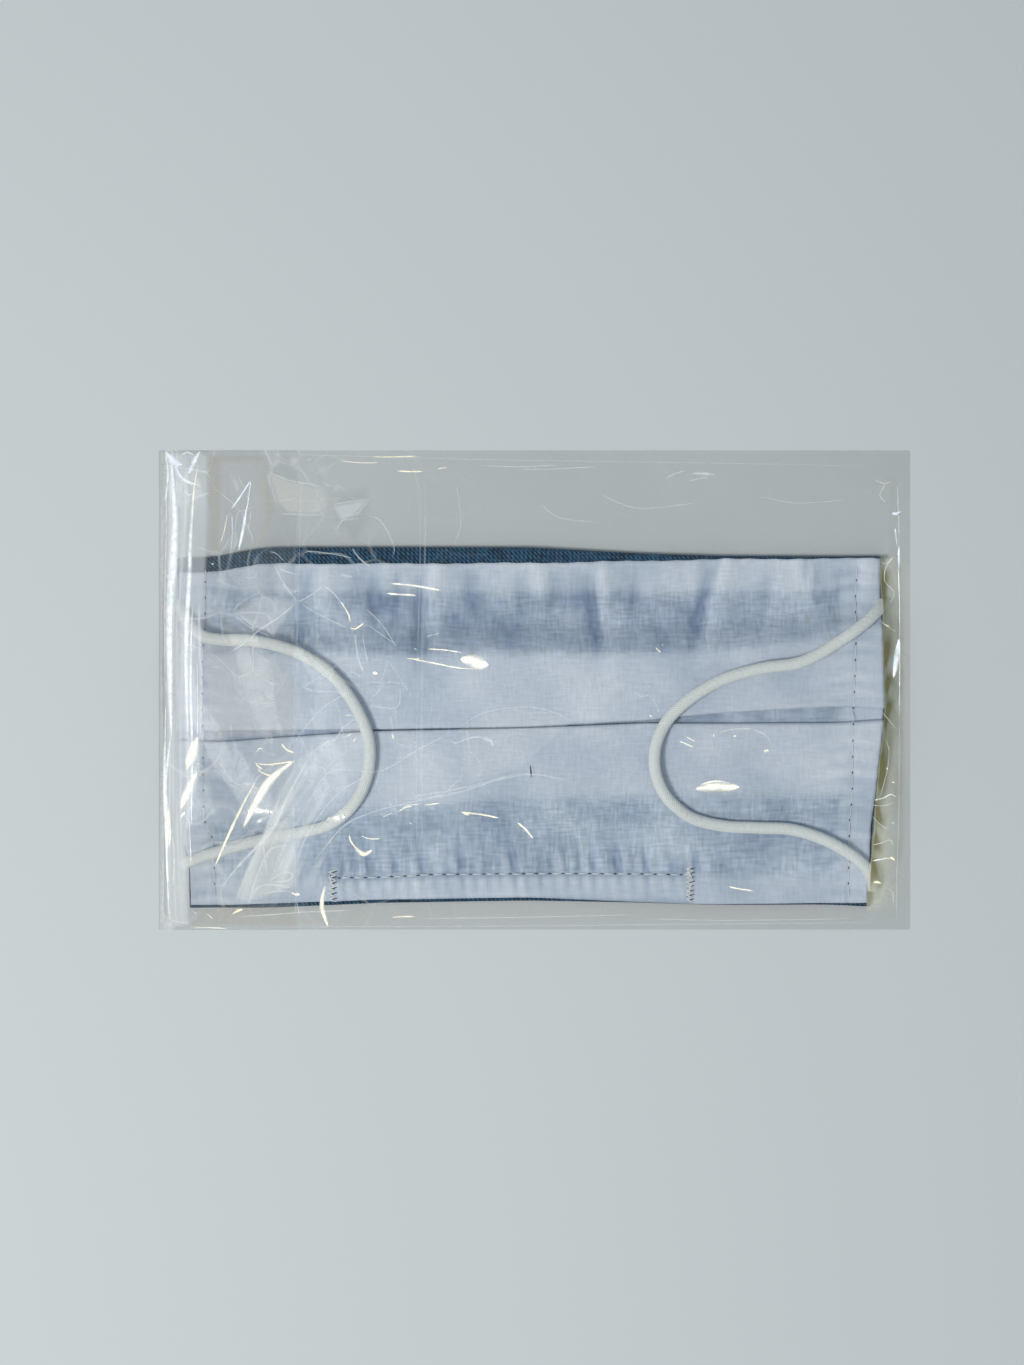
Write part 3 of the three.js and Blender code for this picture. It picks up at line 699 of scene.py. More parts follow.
# ---- Packet: back panel and flap ----
# Clear cast film, one long piece: flat on the table under the mask, folded at the left, and laid
# over the front as a flap 35 mm wide. It is stiff, so it holds sharp little creases.
PACKET_W, PACKET_L, PEAK = 189.0, 120.5, 11.5
SEAL, GAP, WALL = 1.5, 0.3, 0.3
RISE_LEFT, RISE_RIGHT = 8.0, 10.0
FLAP_REACH, FLAP_LIFT = 35.0, 0.65
drape = {
    "up": [-1.0, -0.975, -0.9, -0.82, -0.72, -0.62, -0.52, 0.2, 0.3, 0.4, 0.5, 0.6, 0.7, 0.8, 1.0],
    "rise": [0.0, 0.0, 0.33, 0.48, 0.64, 0.83, 1.0, 1.0, 0.98, 0.72, 0.44, 0.31, 0.07, 0.01, 0.0],
}
# Creases of the film: how bright they look, their widest, their warmth, and where they run
creases = [
    (1, 0.75, 0.8, [(-68.1, -21.5), (-72.8, -30.1), (-79.5, -44.0)]),
    (1, 2, 0.6, [(-59.0, -17.3), (-64.7, -21.7), (-67.6, -25.9), (-72.1, -34.3)]),
    (0.45, 1, 0.4, [(-55.5, -16.0), (-60.5, -25.4), (-63.7, -32.6), (-67.1, -37.0), (-74.6, -44.9),
        (-79.0, -50.9)]),
    (0.35, 0.5, 0.4, [(-62.4, -24.7), (-63.4, -27.9), (-66.2, -34.1), (-67.1, -38.8), (-66.2, -46.9)]),
    (0.4, 0.4, 0.2, [(-58.0, -44.9), (-58.7, -42.0), (-56.0, -35.3), (-48.9, -25.9), (-40.0, -20.2)]),
    (0.4, 0.45, 0.2, [(-58.0, -44.9), (-53.8, -41.2), (-47.4, -33.8), (-40.0, -30.1), (-28.4, -27.2),
        (-19.5, -25.4), (-6.4, -21.5), (1.3, -21.0), (10.4, -23.0)]),
    (0.4, 0.35, 0.2, [(-45.2, 0.0), (-52.3, -4.4), (-56.8, -9.4), (-59.7, -13.6)]),
    (0.4, 0.55, 0.4, [(-43.9, -6.6), (-47.4, -9.4), (-48.9, -11.8), (-52.6, -13.6), (-55.5, -15.8)]),
    (0.28, 0.45, 0.2, [(-28.8, -14.8), (-35.8, -19.0), (-40.0, -20.2), (-48.9, -19.7), (-52.6, -22.2),
        (-56.3, -27.9), (-62.2, -31.8)]),
    (0.9, 0.4, 0.9, [(-68.6, -18.0), (-65.4, -18.3), (-59.2, -17.5)]),
    (0.9, 0.5, 0.9, [(-68.9, -17.5), (-68.1, -18.8), (-66.9, -19.5)]),
    (0.9, 0.6, 0.9, [(-62.4, -13.1), (-61.2, -14.6), (-59.2, -15.5)]),
    (0.8, 0.4, 0.9, [(-68.6, -15.3), (-67.9, -14.3), (-66.9, -14.6)]),
    (1, 0.5, 0.9, [(-45.9, -35.6), (-45.6, -37.3), (-44.2, -39.3)]),
    (1, 1.25, 0.8, [(-44.9, -38.5), (-42.4, -40.7), (-40.2, -39.5)]),
    (0.8, 0.4, 0.8, [(-43.2, -36.0), (-40.7, -36.8), (-38.0, -36.8)]),
    (1, 1.15, 0.7, [(-52.1, -48.6), (-53.1, -54.1), (-51.8, -59.5)]),
    (1, 0.45, 0.9, [(-68.1, -19.2), (-67.4, -20.2), (-64.9, -21.2)]),
    (0.8, 0.35, 0.9, [(-46.9, -11.6), (-44.9, -10.6)]),
    (0.8, 0.35, 0.9, [(-45.2, -13.1), (-43.9, -11.6)]),
    (0.7, 0.3, 0.8, [(-47.1, -6.2), (-44.7, -6.2)]),
    (0.35, 0.55, 0.3, [(-71.1, -52.4), (-68.4, -44.9), (-65.4, -39.5), (-60.5, -38.3)]),
    (0.3, 0.8, 0.3, [(-65.9, -47.4), (-62.2, -45.2), (-60.0, -45.9), (-61.5, -47.4), (-65.4, -47.7)]),
    (0.22, 1.25, 0.3, [(-74.6, -53.1), (-72.1, -46.9), (-67.4, -37.5)]),
    (0.3, 0.65, 0.3, [(-71.6, -54.1), (-69.1, -49.4), (-65.4, -48.4), (-60.0, -49.4)]),
    (0.75, 2.25, 0.1, [(-91.1, 58.8), (-90.1, 42.0), (-90.6, 22.3), (-90.4, 2.5), (-90.1, -12.8)]),
    (0.75, 1.25, 0.3, [(-90.4, -11.1), (-91.4, -17.3), (-92.3, -24.7), (-91.4, -32.8), (-91.9, -42.5)]),
    (0.75, 0.75, 0.1, [(-92.1, -2.4), (-92.6, -22.2), (-91.9, -39.5), (-91.4, -58.0)]),
    (0.75, 1.25, 0.1, [(-84.9, 54.4), (-85.9, 39.6), (-85.7, 22.3), (-85.9, 5.5), (-85.4, -12.8)]),
    (0.75, 0.75, 0.1, [(-84.4, 22.3), (-84.7, 0.0), (-84.4, -17.3), (-84.7, -34.6)]),
    (0.35, 1, 0.1, [(-83.0, 22.3), (-82.2, 2.5), (-82.5, -12.8)]),
    (1, 2.5, 0.5, [(-83.0, -11.3), (-84.2, -15.3), (-85.7, -20.0)]),
    (1, 2.12, 0.5, [(-83.0, -20.0), (-84.7, -23.4), (-87.4, -29.6)]),
    (0.9, 0.75, 0.6, [(-87.7, -31.8), (-86.9, -30.6), (-86.2, -30.1)]),
    (0.75, 0.35, 0.3, [(-85.2, -32.1), (-85.2, -37.8), (-85.2, -43.7)]),
    (0.7, 0.3, 0.6, [(-83.2, 7.4), (-83.0, -2.4), (-83.2, -11.8)]),
    (0.75, 0.45, 1, [(-84.2, 56.8), (-85.4, 49.9), (-85.9, 43.0)]),
    (0.9, 1.75, 0, [(-92.6, 60.1), (-90.6, 57.3), (-88.1, 56.4)]),
    (0.9, 1.25, 0, [(-83.7, 60.1), (-85.2, 57.3), (-86.7, 53.9)]),
    (0.8, 1, 0, [(-90.1, 56.4), (-88.6, 53.4), (-86.2, 51.9), (-84.2, 51.4)]),
    (0.75, 0.65, 0, [(-92.6, 59.3), (-91.9, 54.4), (-92.6, 47.0)]),
    (0.7, 0.6, 0, [(-88.6, 58.8), (-87.2, 59.6), (-85.2, 58.8)]),
    (0.6, 0.6, 0.1, [(-88.1, 50.4), (-86.7, 48.9), (-85.2, 49.4)]),
    (0.5, 0.4, 0.4, [(-92.6, 54.4), (-92.3, 42.0), (-92.6, 22.3), (-92.3, -2.4)]),
    (0.5, 0.35, 0.2, [(-93.1, -12.3), (-93.1, -34.6), (-93.1, -58.0)]),
    (0.75, 0.6, 0.8, [(-91.1, -29.1), (-90.6, -34.6), (-91.1, -39.5)]),
    (0.5, 0.5, 0.6, [(-90.1, -36.0), (-89.6, -41.5), (-90.1, -49.4)]),
    (0.7, 0.33, 1, [(-77.0, 44.0), (-77.5, 40.0), (-78.3, 36.8)]),
    (0.85, 0.65, 0, [(-71.1, 52.6), (-73.3, 49.2), (-76.0, 45.2)]),
    (0.6, 0.38, 0, [(-75.8, 44.0), (-75.5, 38.6), (-75.8, 33.9)]),
    (0.95, 0.9, 0, [(-72.1, 46.2), (-72.8, 40.5), (-73.8, 34.6)]),
    (0.8, 0.4, 0, [(-71.1, 52.4), (-71.6, 48.9), (-72.1, 45.2)]),
    (0.4, 0.3, 0.8, [(-71.1, 45.2), (-71.3, 42.0), (-71.8, 38.6)]),
    (0.45, 0.33, 0.3, [(-67.1, 55.1), (-63.7, 53.4), (-60.5, 52.4), (-56.3, 51.7), (-52.6, 50.7)]),
    (0.35, 0.3, 0.3, [(-67.1, 55.1), (-66.2, 51.4), (-64.7, 47.0), (-64.2, 45.2)]),
    (0.4, 0.35, 0.5, [(-64.2, 44.2), (-60.5, 44.0), (-54.3, 44.0), (-51.8, 45.2)]),
    (0.5, 0.3, 0.1, [(-50.6, 41.8), (-49.6, 40.3), (-48.1, 42.5), (-43.9, 43.0)]),
    (0.4, 0.35, 0.1, [(-41.2, 43.8), (-38.7, 42.5), (-36.5, 39.1), (-35.0, 35.1), (-35.8, 32.9)]),
    (0.35, 0.3, 0.1, [(-51.1, 46.5), (-46.9, 47.2), (-41.4, 48.0)]),
    (0.35, 0.3, 0.1, [(-41.4, 48.0), (-43.7, 45.0), (-45.2, 43.3)]),
    (0.9, 0.35, 0.9, [(-40.7, 58.6), (-34.5, 58.6), (-29.1, 58.8)]),
    (0.7, 0.3, 0.9, [(-57.5, 57.8), (-55.8, 58.1)]),
    (0.7, 0.3, 0.9, [(-48.9, 57.6), (-43.9, 57.1), (-39.0, 57.1)]),
    (1, 0.45, 0.9, [(-34.5, 55.1), (-31.3, 54.9), (-28.1, 54.9)]),
    (0.8, 0.3, 0.9, [(-24.4, 55.6), (-21.9, 55.9)]),
    (0.45, 0.3, 0.7, [(-13.5, 56.4), (-3.6, 56.1), (6.2, 56.6)]),
    (0.45, 0.3, 0.2, [(-66.2, 34.6), (-64.2, 33.9), (-62.4, 32.1)]),
    (0.45, 0.33, 0.2, [(-58.0, 32.9), (-57.3, 34.4), (-55.0, 34.6), (-50.1, 33.9), (-45.2, 32.9)]),
    (0.5, 0.5, 0.3, [(-45.6, 35.4), (-43.7, 32.9), (-41.0, 30.7)]),
    (0.45, 0.4, 0.2, [(-64.9, 31.4), (-62.4, 26.7), (-58.7, 21.8)]),
    (0.5, 0.35, 0.2, [(-63.7, 30.4), (-61.7, 29.4), (-59.0, 28.7)]),
    (0.5, 0.4, 0.1, [(-58.7, 21.8), (-55.3, 23.7), (-52.6, 26.0)]),
    (0.55, 0.45, 0.1, [(-58.7, 21.8), (-62.9, 18.1), (-67.9, 14.8), (-71.1, 11.9), (-76.0, 8.7)]),
    (0.35, 0.35, 0.1, [(-58.7, 21.8), (-53.1, 18.6), (-45.9, 15.1)]),
    (0.4, 0.35, 0.2, [(-67.4, 24.7), (-72.8, 21.5), (-74.6, 19.0)]),
    (0.4, 0.38, 0.1, [(-74.6, 19.0), (-70.4, 15.6), (-64.7, 13.1)]),
    (0.35, 0.33, 0.1, [(-74.6, 19.0), (-66.2, 18.6), (-64.2, 13.1)]),
    (0.3, 0.33, 0.1, [(-77.5, 18.8), (-76.8, 13.6), (-74.6, 9.9)]),
    (0.25, 1.5, 0.1, [(-62.7, 26.5), (-60.5, 24.2), (-58.7, 25.0)]),
    (0.25, 1.25, 0.2, [(-48.6, 28.9), (-46.6, 28.4), (-45.2, 28.2)]),
    (0.55, 0.33, 0.6, [(-52.6, 26.0), (-50.1, 24.2), (-47.9, 21.5)]),
    (0.95, 0.5, 0.9, [(-48.1, 22.0), (-46.1, 18.8), (-45.6, 16.6)]),
    (0.95, 0.5, 0.9, [(-45.9, 15.6), (-44.4, 15.1), (-42.2, 16.6)]),
    (0.4, 0.33, 0.1, [(-41.9, 20.3), (-37.7, 16.1), (-34.0, 10.4)]),
    (0.45, 0.33, 0.1, [(-41.2, 16.1), (-37.7, 13.6), (-34.5, 11.4)]),
    (0.45, 0.6, 0.1, [(-44.4, 14.1), (-43.7, 8.2), (-42.2, 4.2)]),
    (0.35, 0.4, 0.1, [(-42.4, 13.1), (-41.9, 9.9), (-41.2, 6.7)]),
    (1, 0.85, 0.7, [(-40.0, 4.5), (-39.5, 4.2), (-38.7, 4.0)]),
    (0.4, 0.35, 0.1, [(-46.4, 3.2), (-45.2, 4.5), (-42.7, 3.2)]),
    (0.35, 0.33, 0.1, [(-57.3, 0.5), (-52.6, 3.7), (-50.1, 4.5)]),
    (0.4, 0.33, 0.1, [(-57.3, 0.5), (-53.1, -0.2), (-48.1, -0.7), (-44.4, -2.9)]),
    (0.4, 0.33, 0.1, [(-41.9, 1.8), (-37.5, 1.5), (-40.7, -2.4)]),
    (0.4, 0.33, 0.1, [(-40.7, -3.7), (-34.0, -4.2), (-33.3, 1.3)]),
    (0.35, 0.33, 0.1, [(-37.5, 1.5), (-35.3, 2.0), (-32.8, 1.5)]),
    (1, 0.7, 0.6, [(-36.0, 26.5), (-30.3, 26.0), (-23.2, 24.7)]),
    (1, 0.7, 0.6, [(-36.8, 24.0), (-33.3, 23.7), (-29.3, 23.5)]),
    (0.9, 0.35, 0.9, [(-31.8, 7.9), (-30.3, 7.7), (-28.1, 7.7)]),
    (0.9, 0.5, 0.9, [(-29.8, 10.4), (-29.1, 9.9)]),
    (0.3, 0.3, 0.1, [(-79.7, 27.9), (-76.3, 26.2), (-72.8, 25.2)]),
    (0.35, 0.3, 0.1, [(-72.8, 28.4), (-70.4, 27.7), (-68.9, 28.9)]),
    (0.3, 0.35, 0.3, [(-76.5, 30.2), (-74.6, 27.4), (-72.8, 26.0)]),
    (0.9, 0.5, 0.9, [(-80.7, 31.4), (-79.7, 31.4)]),
    (0.35, 0.3, 0, [(-80.0, 5.5), (-77.3, 5.7)]),
    (0.3, 0.3, 0, [(-69.1, 5.0), (-65.4, 4.7)]),
    (0.95, 0.45, 0.7, [(-31.3, 7.9), (-25.1, 6.7), (-19.0, 5.5), (-14.5, 5.2)]),
    (0.95, 0.4, 0.7, [(-26.6, 10.2), (-22.2, 9.9), (-17.7, 9.2)]),
    (1, 3.25, 0.5, [(-18.5, 7.7), (-15.0, 6.9), (-11.3, 6.2)]),
    (0.9, 0.4, 0.8, [(29.7, 10.6), (30.4, 9.9), (31.2, 9.2)]),
    (0.7, 0.3, 0.6, [(31.2, 10.9), (31.9, 11.4)]),
    (0.5, 0.33, 0.1, [(24.3, 0.0), (26.0, -1.5), (28.5, -1.2)]),
    (0.6, 0.35, 0.1, [(28.2, 1.5), (28.2, 0.5)]),
    (0.4, 0.25, 0.1, [(28.7, -1.7), (30.0, -3.7), (30.7, -5.4)]),
    (0.9, 0.5, 0.6, [(28.0, -5.9), (29.2, -6.9)]),
    (0.6, 0.3, 0.6, [(30.0, -4.7), (30.7, -5.7)]),
    (0.28, 0.4, 0.2, [(-19.0, -9.4), (-12.8, -5.7), (-4.4, -4.2), (3.0, -4.9), (9.4, -7.9)]),
    (0.32, 0.4, 0.2, [(-33.3, -17.3), (-29.1, -14.8), (-21.7, -11.1)]),
    (0.5, 0.5, 0.1, [(-20.9, -12.1), (-19.7, -13.1), (-16.0, -11.8), (-12.8, -11.6)]),
    (0.45, 1.05, 0.1, [(-13.5, -11.6), (-10.8, -12.6), (-10.3, -14.3)]),
    (0.35, 0.33, 0.1, [(-16.7, -19.7), (-19.7, -23.0), (-23.4, -25.9), (-33.3, -27.2)]),
    (0.3, 0.5, 0.2, [(-33.3, -26.9), (-16.7, -23.9), (-8.6, -21.7), (-3.4, -20.2)]),
    (0.9, 0.4, 0.8, [(35.6, -12.6), (37.4, -13.3), (39.3, -14.3)]),
    (0.8, 0.35, 0.8, [(37.1, -11.3), (38.4, -12.1), (39.8, -12.8)]),
    (0.8, 0.35, 0.8, [(44.0, -10.6), (44.3, -11.8)]),
    (1, 2.5, 0.6, [(39.6, -24.4), (43.8, -24.2), (50.7, -23.9)]),
    (0.8, 0.6, 0.7, [(40.8, -23.4), (44.5, -22.5), (48.2, -23.0)]),
    (1, 0.55, 0.8, [(-18.5, -30.1), (-14.0, -30.6), (-8.8, -31.6)]),
    (0.9, 0.75, 0.8, [(-18.0, -30.1), (-16.0, -30.9)]),
    (1, 0.6, 0.8, [(-4.4, -32.6), (-2.4, -34.3), (-0.4, -36.8)]),
    (0.7, 0.3, 0.8, [(-33.3, -30.1), (-31.8, -28.6), (-28.4, -28.1)]),
    (0.8, 0.4, 0.9, [(-27.4, -28.4), (-24.9, -28.1), (-23.2, -27.9)]),
    (0.7, 0.5, 0.9, [(-31.1, -32.6), (-30.1, -33.3)]),
    (0.7, 0.35, 0.9, [(-37.7, -31.4), (-35.3, -30.4)]),
    (0.7, 0.35, 0.9, [(-34.0, -30.1), (-32.1, -29.1), (-30.1, -28.6)]),
    (0.9, 0.7, 0.9, [(-35.3, -10.6), (-34.8, -12.3)]),
    (0.7, 0.35, 0.8, [(-29.8, -12.3), (-29.6, -13.6)]),
    (0.6, 0.33, 0.8, [(45.5, -10.4), (49.5, -9.6), (53.7, -9.6)]),
    (0.9, 0.75, 0.8, [(49.0, -11.1), (49.7, -11.6)]),
    (0.9, 0.85, 0.8, [(56.6, -15.0), (58.1, -15.0)]),
    (0.4, 0.3, 0.3, [(53.7, -9.6), (56.9, -11.1), (58.6, -13.6)]),
    (0.8, 0.5, 0.9, [(48.2, -48.9), (51.2, -49.6), (54.7, -50.1)]),
    (0.9, 1, 0.9, [(56.4, -15.3), (57.4, -15.0)]),
    (0.45, 0.45, 0.1, [(-26.9, 13.1), (-25.4, 13.6), (-23.4, 14.1)]),
    (0.2, 0.3, 0.3, [(-28.8, 54.4), (-28.6, 32.1), (-28.8, 12.4), (-29.1, -7.4), (-29.3, -27.2),
        (-29.1, -49.4)]),
    (0.12, 0.85, 0.3, [(-27.4, 54.4), (-27.4, 32.1), (-27.9, -2.4), (-27.9, -42.0)]),
    (0.22, 0.28, 0.3, [(-58.7, 58.8), (-58.7, 32.1), (-58.7, 0.0)]),
    (0.3, 0.28, 0.3, [(-59.5, -24.7), (-59.5, -42.0), (-59.7, -58.8)]),
    (0.5, 0.3, 0.1, [(32.7, 53.1), (35.4, 54.4), (37.9, 55.1)]),
    (0.45, 0.3, 0.1, [(38.8, 52.4), (41.3, 53.1), (43.8, 53.4)]),
    (0.5, 0.8, 0, [(39.3, 54.4), (42.3, 54.4), (45.5, 54.1)]),
    (0.4, 0.3, 0.8, [(-3.6, 55.4), (6.2, 55.6), (16.1, 56.1)]),
    (0.3, 0.35, 0.1, [(16.1, 49.4), (26.0, 45.7), (40.8, 47.0)]),
    (0.25, 0.3, 0.1, [(-19.7, 51.9), (-18.5, 42.0), (-20.4, 35.1)]),
    (0.3, 0.3, 0.1, [(55.6, 48.9), (65.5, 47.0), (77.9, 47.7)]),
    (0.25, 0.4, 0.1, [(1.3, 47.0), (6.2, 43.3), (16.1, 42.0)]),
    (1, 0.85, 0, [(91.5, 36.3), (91.2, 33.1), (91.2, 29.7)]),
    (0.9, 0.33, 0, [(91.2, 30.9), (91.3, 22.3), (91.2, 12.4)]),
    (1, 2.25, 0, [(91.0, 12.9), (89.5, 8.2), (89.2, 3.0)]),
    (0.8, 0.38, 0, [(91.2, 13.4), (91.2, 2.5), (91.0, -7.4)]),
    (0.5, 0.3, 0.3, [(91.2, 51.9), (91.5, 42.0), (91.5, 35.8)]),
    (0.35, 0.3, 0.3, [(91.2, -7.4), (91.0, -27.2), (90.7, -46.9), (91.0, -58.8)]),
    (0.6, 0.35, 0.7, [(85.3, 32.6), (87.8, 31.6), (89.7, 33.1), (87.8, 30.7), (87.3, 27.2),
        (89.7, 24.2), (87.8, 20.8)]),
    (0.5, 0.3, 1, [(85.3, 17.3), (87.3, 15.8), (90.2, 14.4)]),
    (0.7, 0.5, 1, [(86.5, 16.3), (88.3, 15.6)]),
    (0.5, 0.3, 0.5, [(85.8, -5.4), (87.8, -7.4), (90.2, -9.9)]),
    (0.5, 0.3, 0.5, [(86.3, -11.1), (87.8, -14.8), (87.3, -19.7), (85.3, -26.7)]),
    (0.8, 0.55, 1, [(87.0, -19.2), (87.5, -19.7)]),
    (0.8, 0.5, 0.3, [(88.5, -22.7), (89.7, -23.2)]),
    (0.7, 0.5, 0.2, [(83.8, -27.2), (86.3, -26.7), (88.3, -25.9), (90.2, -26.7)]),
    (0.6, 0.35, 0.2, [(83.3, -28.4), (86.5, -28.6), (89.5, -27.9)]),
    (0.7, 0.6, 0.2, [(88.5, -32.6), (89.7, -33.6)]),
    (0.5, 0.35, 0.4, [(83.3, -31.1), (85.3, -33.1), (87.8, -34.6)]),
    (0.6, 0.4, 0.3, [(83.6, -38.5), (86.5, -37.8), (88.5, -37.3), (89.5, -39.0)]),
    (0.7, 0.45, 0.5, [(83.8, -42.5), (86.8, -42.0), (89.7, -42.0)]),
    (1, 0.75, 0.9, [(88.5, -41.5), (90.0, -42.7)]),
    (1, 0.75, 0.9, [(84.1, -47.9), (85.3, -47.9), (86.5, -48.4)]),
    (0.4, 0.35, 0.3, [(87.8, -49.4), (89.7, -50.9), (90.0, -54.3)]),
    (0.5, 0.33, 0.2, [(88.3, 51.9), (86.8, 48.9), (88.5, 47.0)]),
    (0.95, 1.25, 0, [(89.5, 44.5), (91.0, 44.0), (92.2, 45.0)]),
    (0.7, 0.5, 0, [(90.5, 40.8), (91.0, 35.8)]),
    (0.5, 0.3, 0.2, [(85.3, 52.9), (87.8, 51.9), (89.7, 52.4)]),
    (0.8, 0.45, 0.8, [(-85.7, -59.5), (-82.0, -59.5), (-77.0, -59.8)]),
    (0.9, 0.75, 0.9, [(-76.0, -56.3), (-74.6, -55.3), (-72.6, -54.6)]),
    (0.7, 0.35, 0.9, [(-82.2, -55.6), (-81.2, -56.6), (-80.5, -57.5)]),
    (0.6, 0.5, 0.9, [(-85.2, -55.3), (-84.2, -56.1)]),
    (0.5, 0.35, 0.5, [(-75.3, -56.8), (-67.9, -56.3), (-58.0, -55.6), (-45.6, -55.1)]),
    (0.8, 0.45, 0.9, [(-35.8, -57.0), (-33.3, -56.8), (-29.8, -56.8)]),
    (0.4, 0.3, 0.4, [(-28.4, -57.3), (-3.6, -57.0), (26.0, -56.3)]),
    (0.3, 0.3, 0.4, [(26.0, -57.3), (50.7, -57.8), (80.4, -57.3)]),
    (0.9, 0.85, 0.5, [(-60.7, -50.1), (-59.5, -50.9), (-58.2, -50.9)]),
    (0.5, 0.35, 0.5, [(-59.5, -52.6), (-59.2, -54.3), (-58.7, -56.6)]),
    (0.5, 0.33, 0.5, [(-66.9, -50.6), (-64.2, -50.1), (-60.5, -50.1)]),
    (0.25, 0.3, 0.3, [(-92.6, -59.8), (-58.0, -59.5), (-8.6, -59.3), (40.8, -58.8), (91.5, -58.3)]),
    (0.22, 0.25, 0.3, [(-92.6, 59.6), (-58.0, 59.1), (-8.6, 57.8), (40.8, 57.1), (91.5, 56.1)]),
]
# Facets between creases: how much haze and painted sheen they show (below 0, how much painted dark
# reflection), their warmth, their slope, and their corners
facets = [
    (0.5, 0.3, 0.05, [(-67.1, 55.1), (-60.5, 52.4), (-52.6, 50.7), (-51.8, 45.2), (-54.3, 44.0),
        (-61.7, 44.0), (-64.7, 47.5)]),
    (0.6, 0, 0.04, [(-51.1, 46.5), (-41.4, 48.0), (-45.2, 43.3), (-48.6, 42.0)]),
    (0.5, 0.2, 0.05, [(-74.6, -52.4), (-71.6, -44.0), (-67.1, -34.6), (-60.5, -30.4), (-58.0, -44.9),
        (-60.0, -49.4), (-71.1, -53.1)]),
    (0.35, 0.1, 0.05, [(-58.7, -16.5), (-50.6, -12.3), (-48.1, -19.7), (-52.6, -22.2), (-56.3, -27.9),
        (-62.2, -31.8), (-67.4, -35.8), (-64.2, -27.2)]),
    (0.3, 0.1, 0.04, [(-74.6, 19.0), (-67.4, 24.2), (-58.7, 21.8), (-64.2, 13.1), (-70.4, 15.6)]),
    (0.3, 0, 0.04, [(-58.7, 21.8), (-52.6, 26.0), (-45.9, 16.8), (-45.2, 15.3)]),
    (0.35, 0.1, 0.04, [(-55.5, -44.4), (-46.9, -34.1), (-40.0, -30.1), (-48.9, -37.0), (-53.1, -44.4)]),
    (0.18, 0.6, 0.04, [(-82.7, 59.3), (-67.4, 59.3), (-67.4, 55.6), (-64.7, 45.2), (-67.4, 35.8),
        (-81.5, 34.1)]),
    (0.2, 0.3, 0.03, [(-81.5, 12.4), (-67.9, 12.4), (-58.0, 0.0), (-58.0, -11.1), (-80.2, -12.3)]),
    (0.22, 0.1, 0.03, [(-19.0, -9.4), (-12.8, -5.7), (-4.4, -4.2), (3.0, -4.9), (9.4, -7.9),
        (-3.6, -19.7), (-16.7, -23.9)]),
    (0.3, 0.1, 0.03, [(-64.9, -46.9), (-60.0, -27.2), (-58.0, -17.3), (-43.2, -6.2), (-40.2, -19.7),
        (-49.4, -21.0), (-58.0, -43.2)]),
    (0.07, 0.9, 0, [(88.3, 54.4), (91.7, 54.4), (91.7, -58.0), (85.3, -58.0), (86.3, -46.9),
        (84.8, -39.5), (85.3, -27.2), (87.3, -17.3), (88.5, -2.4), (88.8, 17.3)]),
    (0.16, 0.6, 0, [(-82.7, -54.1), (1.3, -52.8), (80.4, -54.1), (85.3, -58.8), (-87.7, -59.5)]),
    (-0.3, 0, 0.03, [(-75.6, 19.8), (-70.6, 23.2), (-67.9, 21.2), (-71.4, 17.8)]),
    (-0.3, 0, 0.03, [(-79.6, 17.6), (-77.0, 19.0), (-72.2, 14.6), (-76.0, 13.4)]),
    (-0.14, 0, 0.02, [(-79.0, 58.0), (-67.4, 57.6), (-66.8, 38.0), (-72.0, 34.0), (-79.6, 33.0)]),
    (-0.12, 0, 0.02, [(-52.0, 50.0), (-41.0, 52.0), (-40.4, 42.0), (-45.0, 36.0), (-51.0, 42.0)]),
    (0.32, 0.05, 0, [(-92.6, 59.6), (-81.7, 59.6), (-81.7, 22.3), (-81.2, -12.8), (-85.2, -34.6),
        (-86.2, -59.3), (-92.6, -59.8)]),
]


def crumple(x, y, pieces, strength, seed):
    """Facets of crumpled film: folded planes at random slants, sharp where they turn."""
    chance = np.random.default_rng(seed)
    total = np.zeros_like(x)
    for _ in range(pieces):
        slant, pitch = chance.uniform(0, math.pi), chance.uniform(14, 34)
        bend = 3.5 * np.sin(x * chance.uniform(0.03, 0.08) + chance.uniform(0, 6)) * np.sin(
            y * chance.uniform(0.03, 0.09) + chance.uniform(0, 6)
        )
        t = (x * math.cos(slant) + y * math.sin(slant) + bend) / pitch + chance.uniform(0, 1)
        total += strength * pitch * (np.abs((t % 1) - 0.5) - 0.25)
    return total / pieces


def facet_depth(x, y, corners):
    """How far inside a facet a place lies, in millimetres, and 0 outside it."""
    inside = np.zeros(x.shape, dtype=bool)
    away = np.full(x.shape, 1e9)
    for (x0, y0), (x1, y1) in zip(corners, corners[1:] + corners[:1]):
        crosses = (y0 > y) != (y1 > y)
        inside ^= crosses & (x < x0 + (y - y0) * (x1 - x0) / ((y1 - y0) or 1e-9))
        run_x, run_y = x1 - x0, y1 - y0
        t = np.clip(((x - x0) * run_x + (y - y0) * run_y) / (run_x**2 + run_y**2), 0, 1)
        away = np.minimum(away, np.hypot(x - x0 - t * run_x, y - y0 - t * run_y))
    return np.where(inside, away, 0.0)


def drape_height(x, y):
    """Height of the front film's middle, as it lies over the mask and falls to the seals."""
    left = (1 - np.clip((PACKET_W / 2 + x - SEAL) / RISE_LEFT, 0, 1)) ** 2
    right = (1 - np.clip((PACKET_W / 2 - x - SEAL) / RISE_RIGHT, 0, 1)) ** 2
    rise = np.interp(y / (PACKET_L / 2), drape["up"], drape["rise"])
    base = WALL + GAP + WALL / 2
    return base + (PEAK - WALL / 2 - base) * (1 - left) * (1 - right) * rise


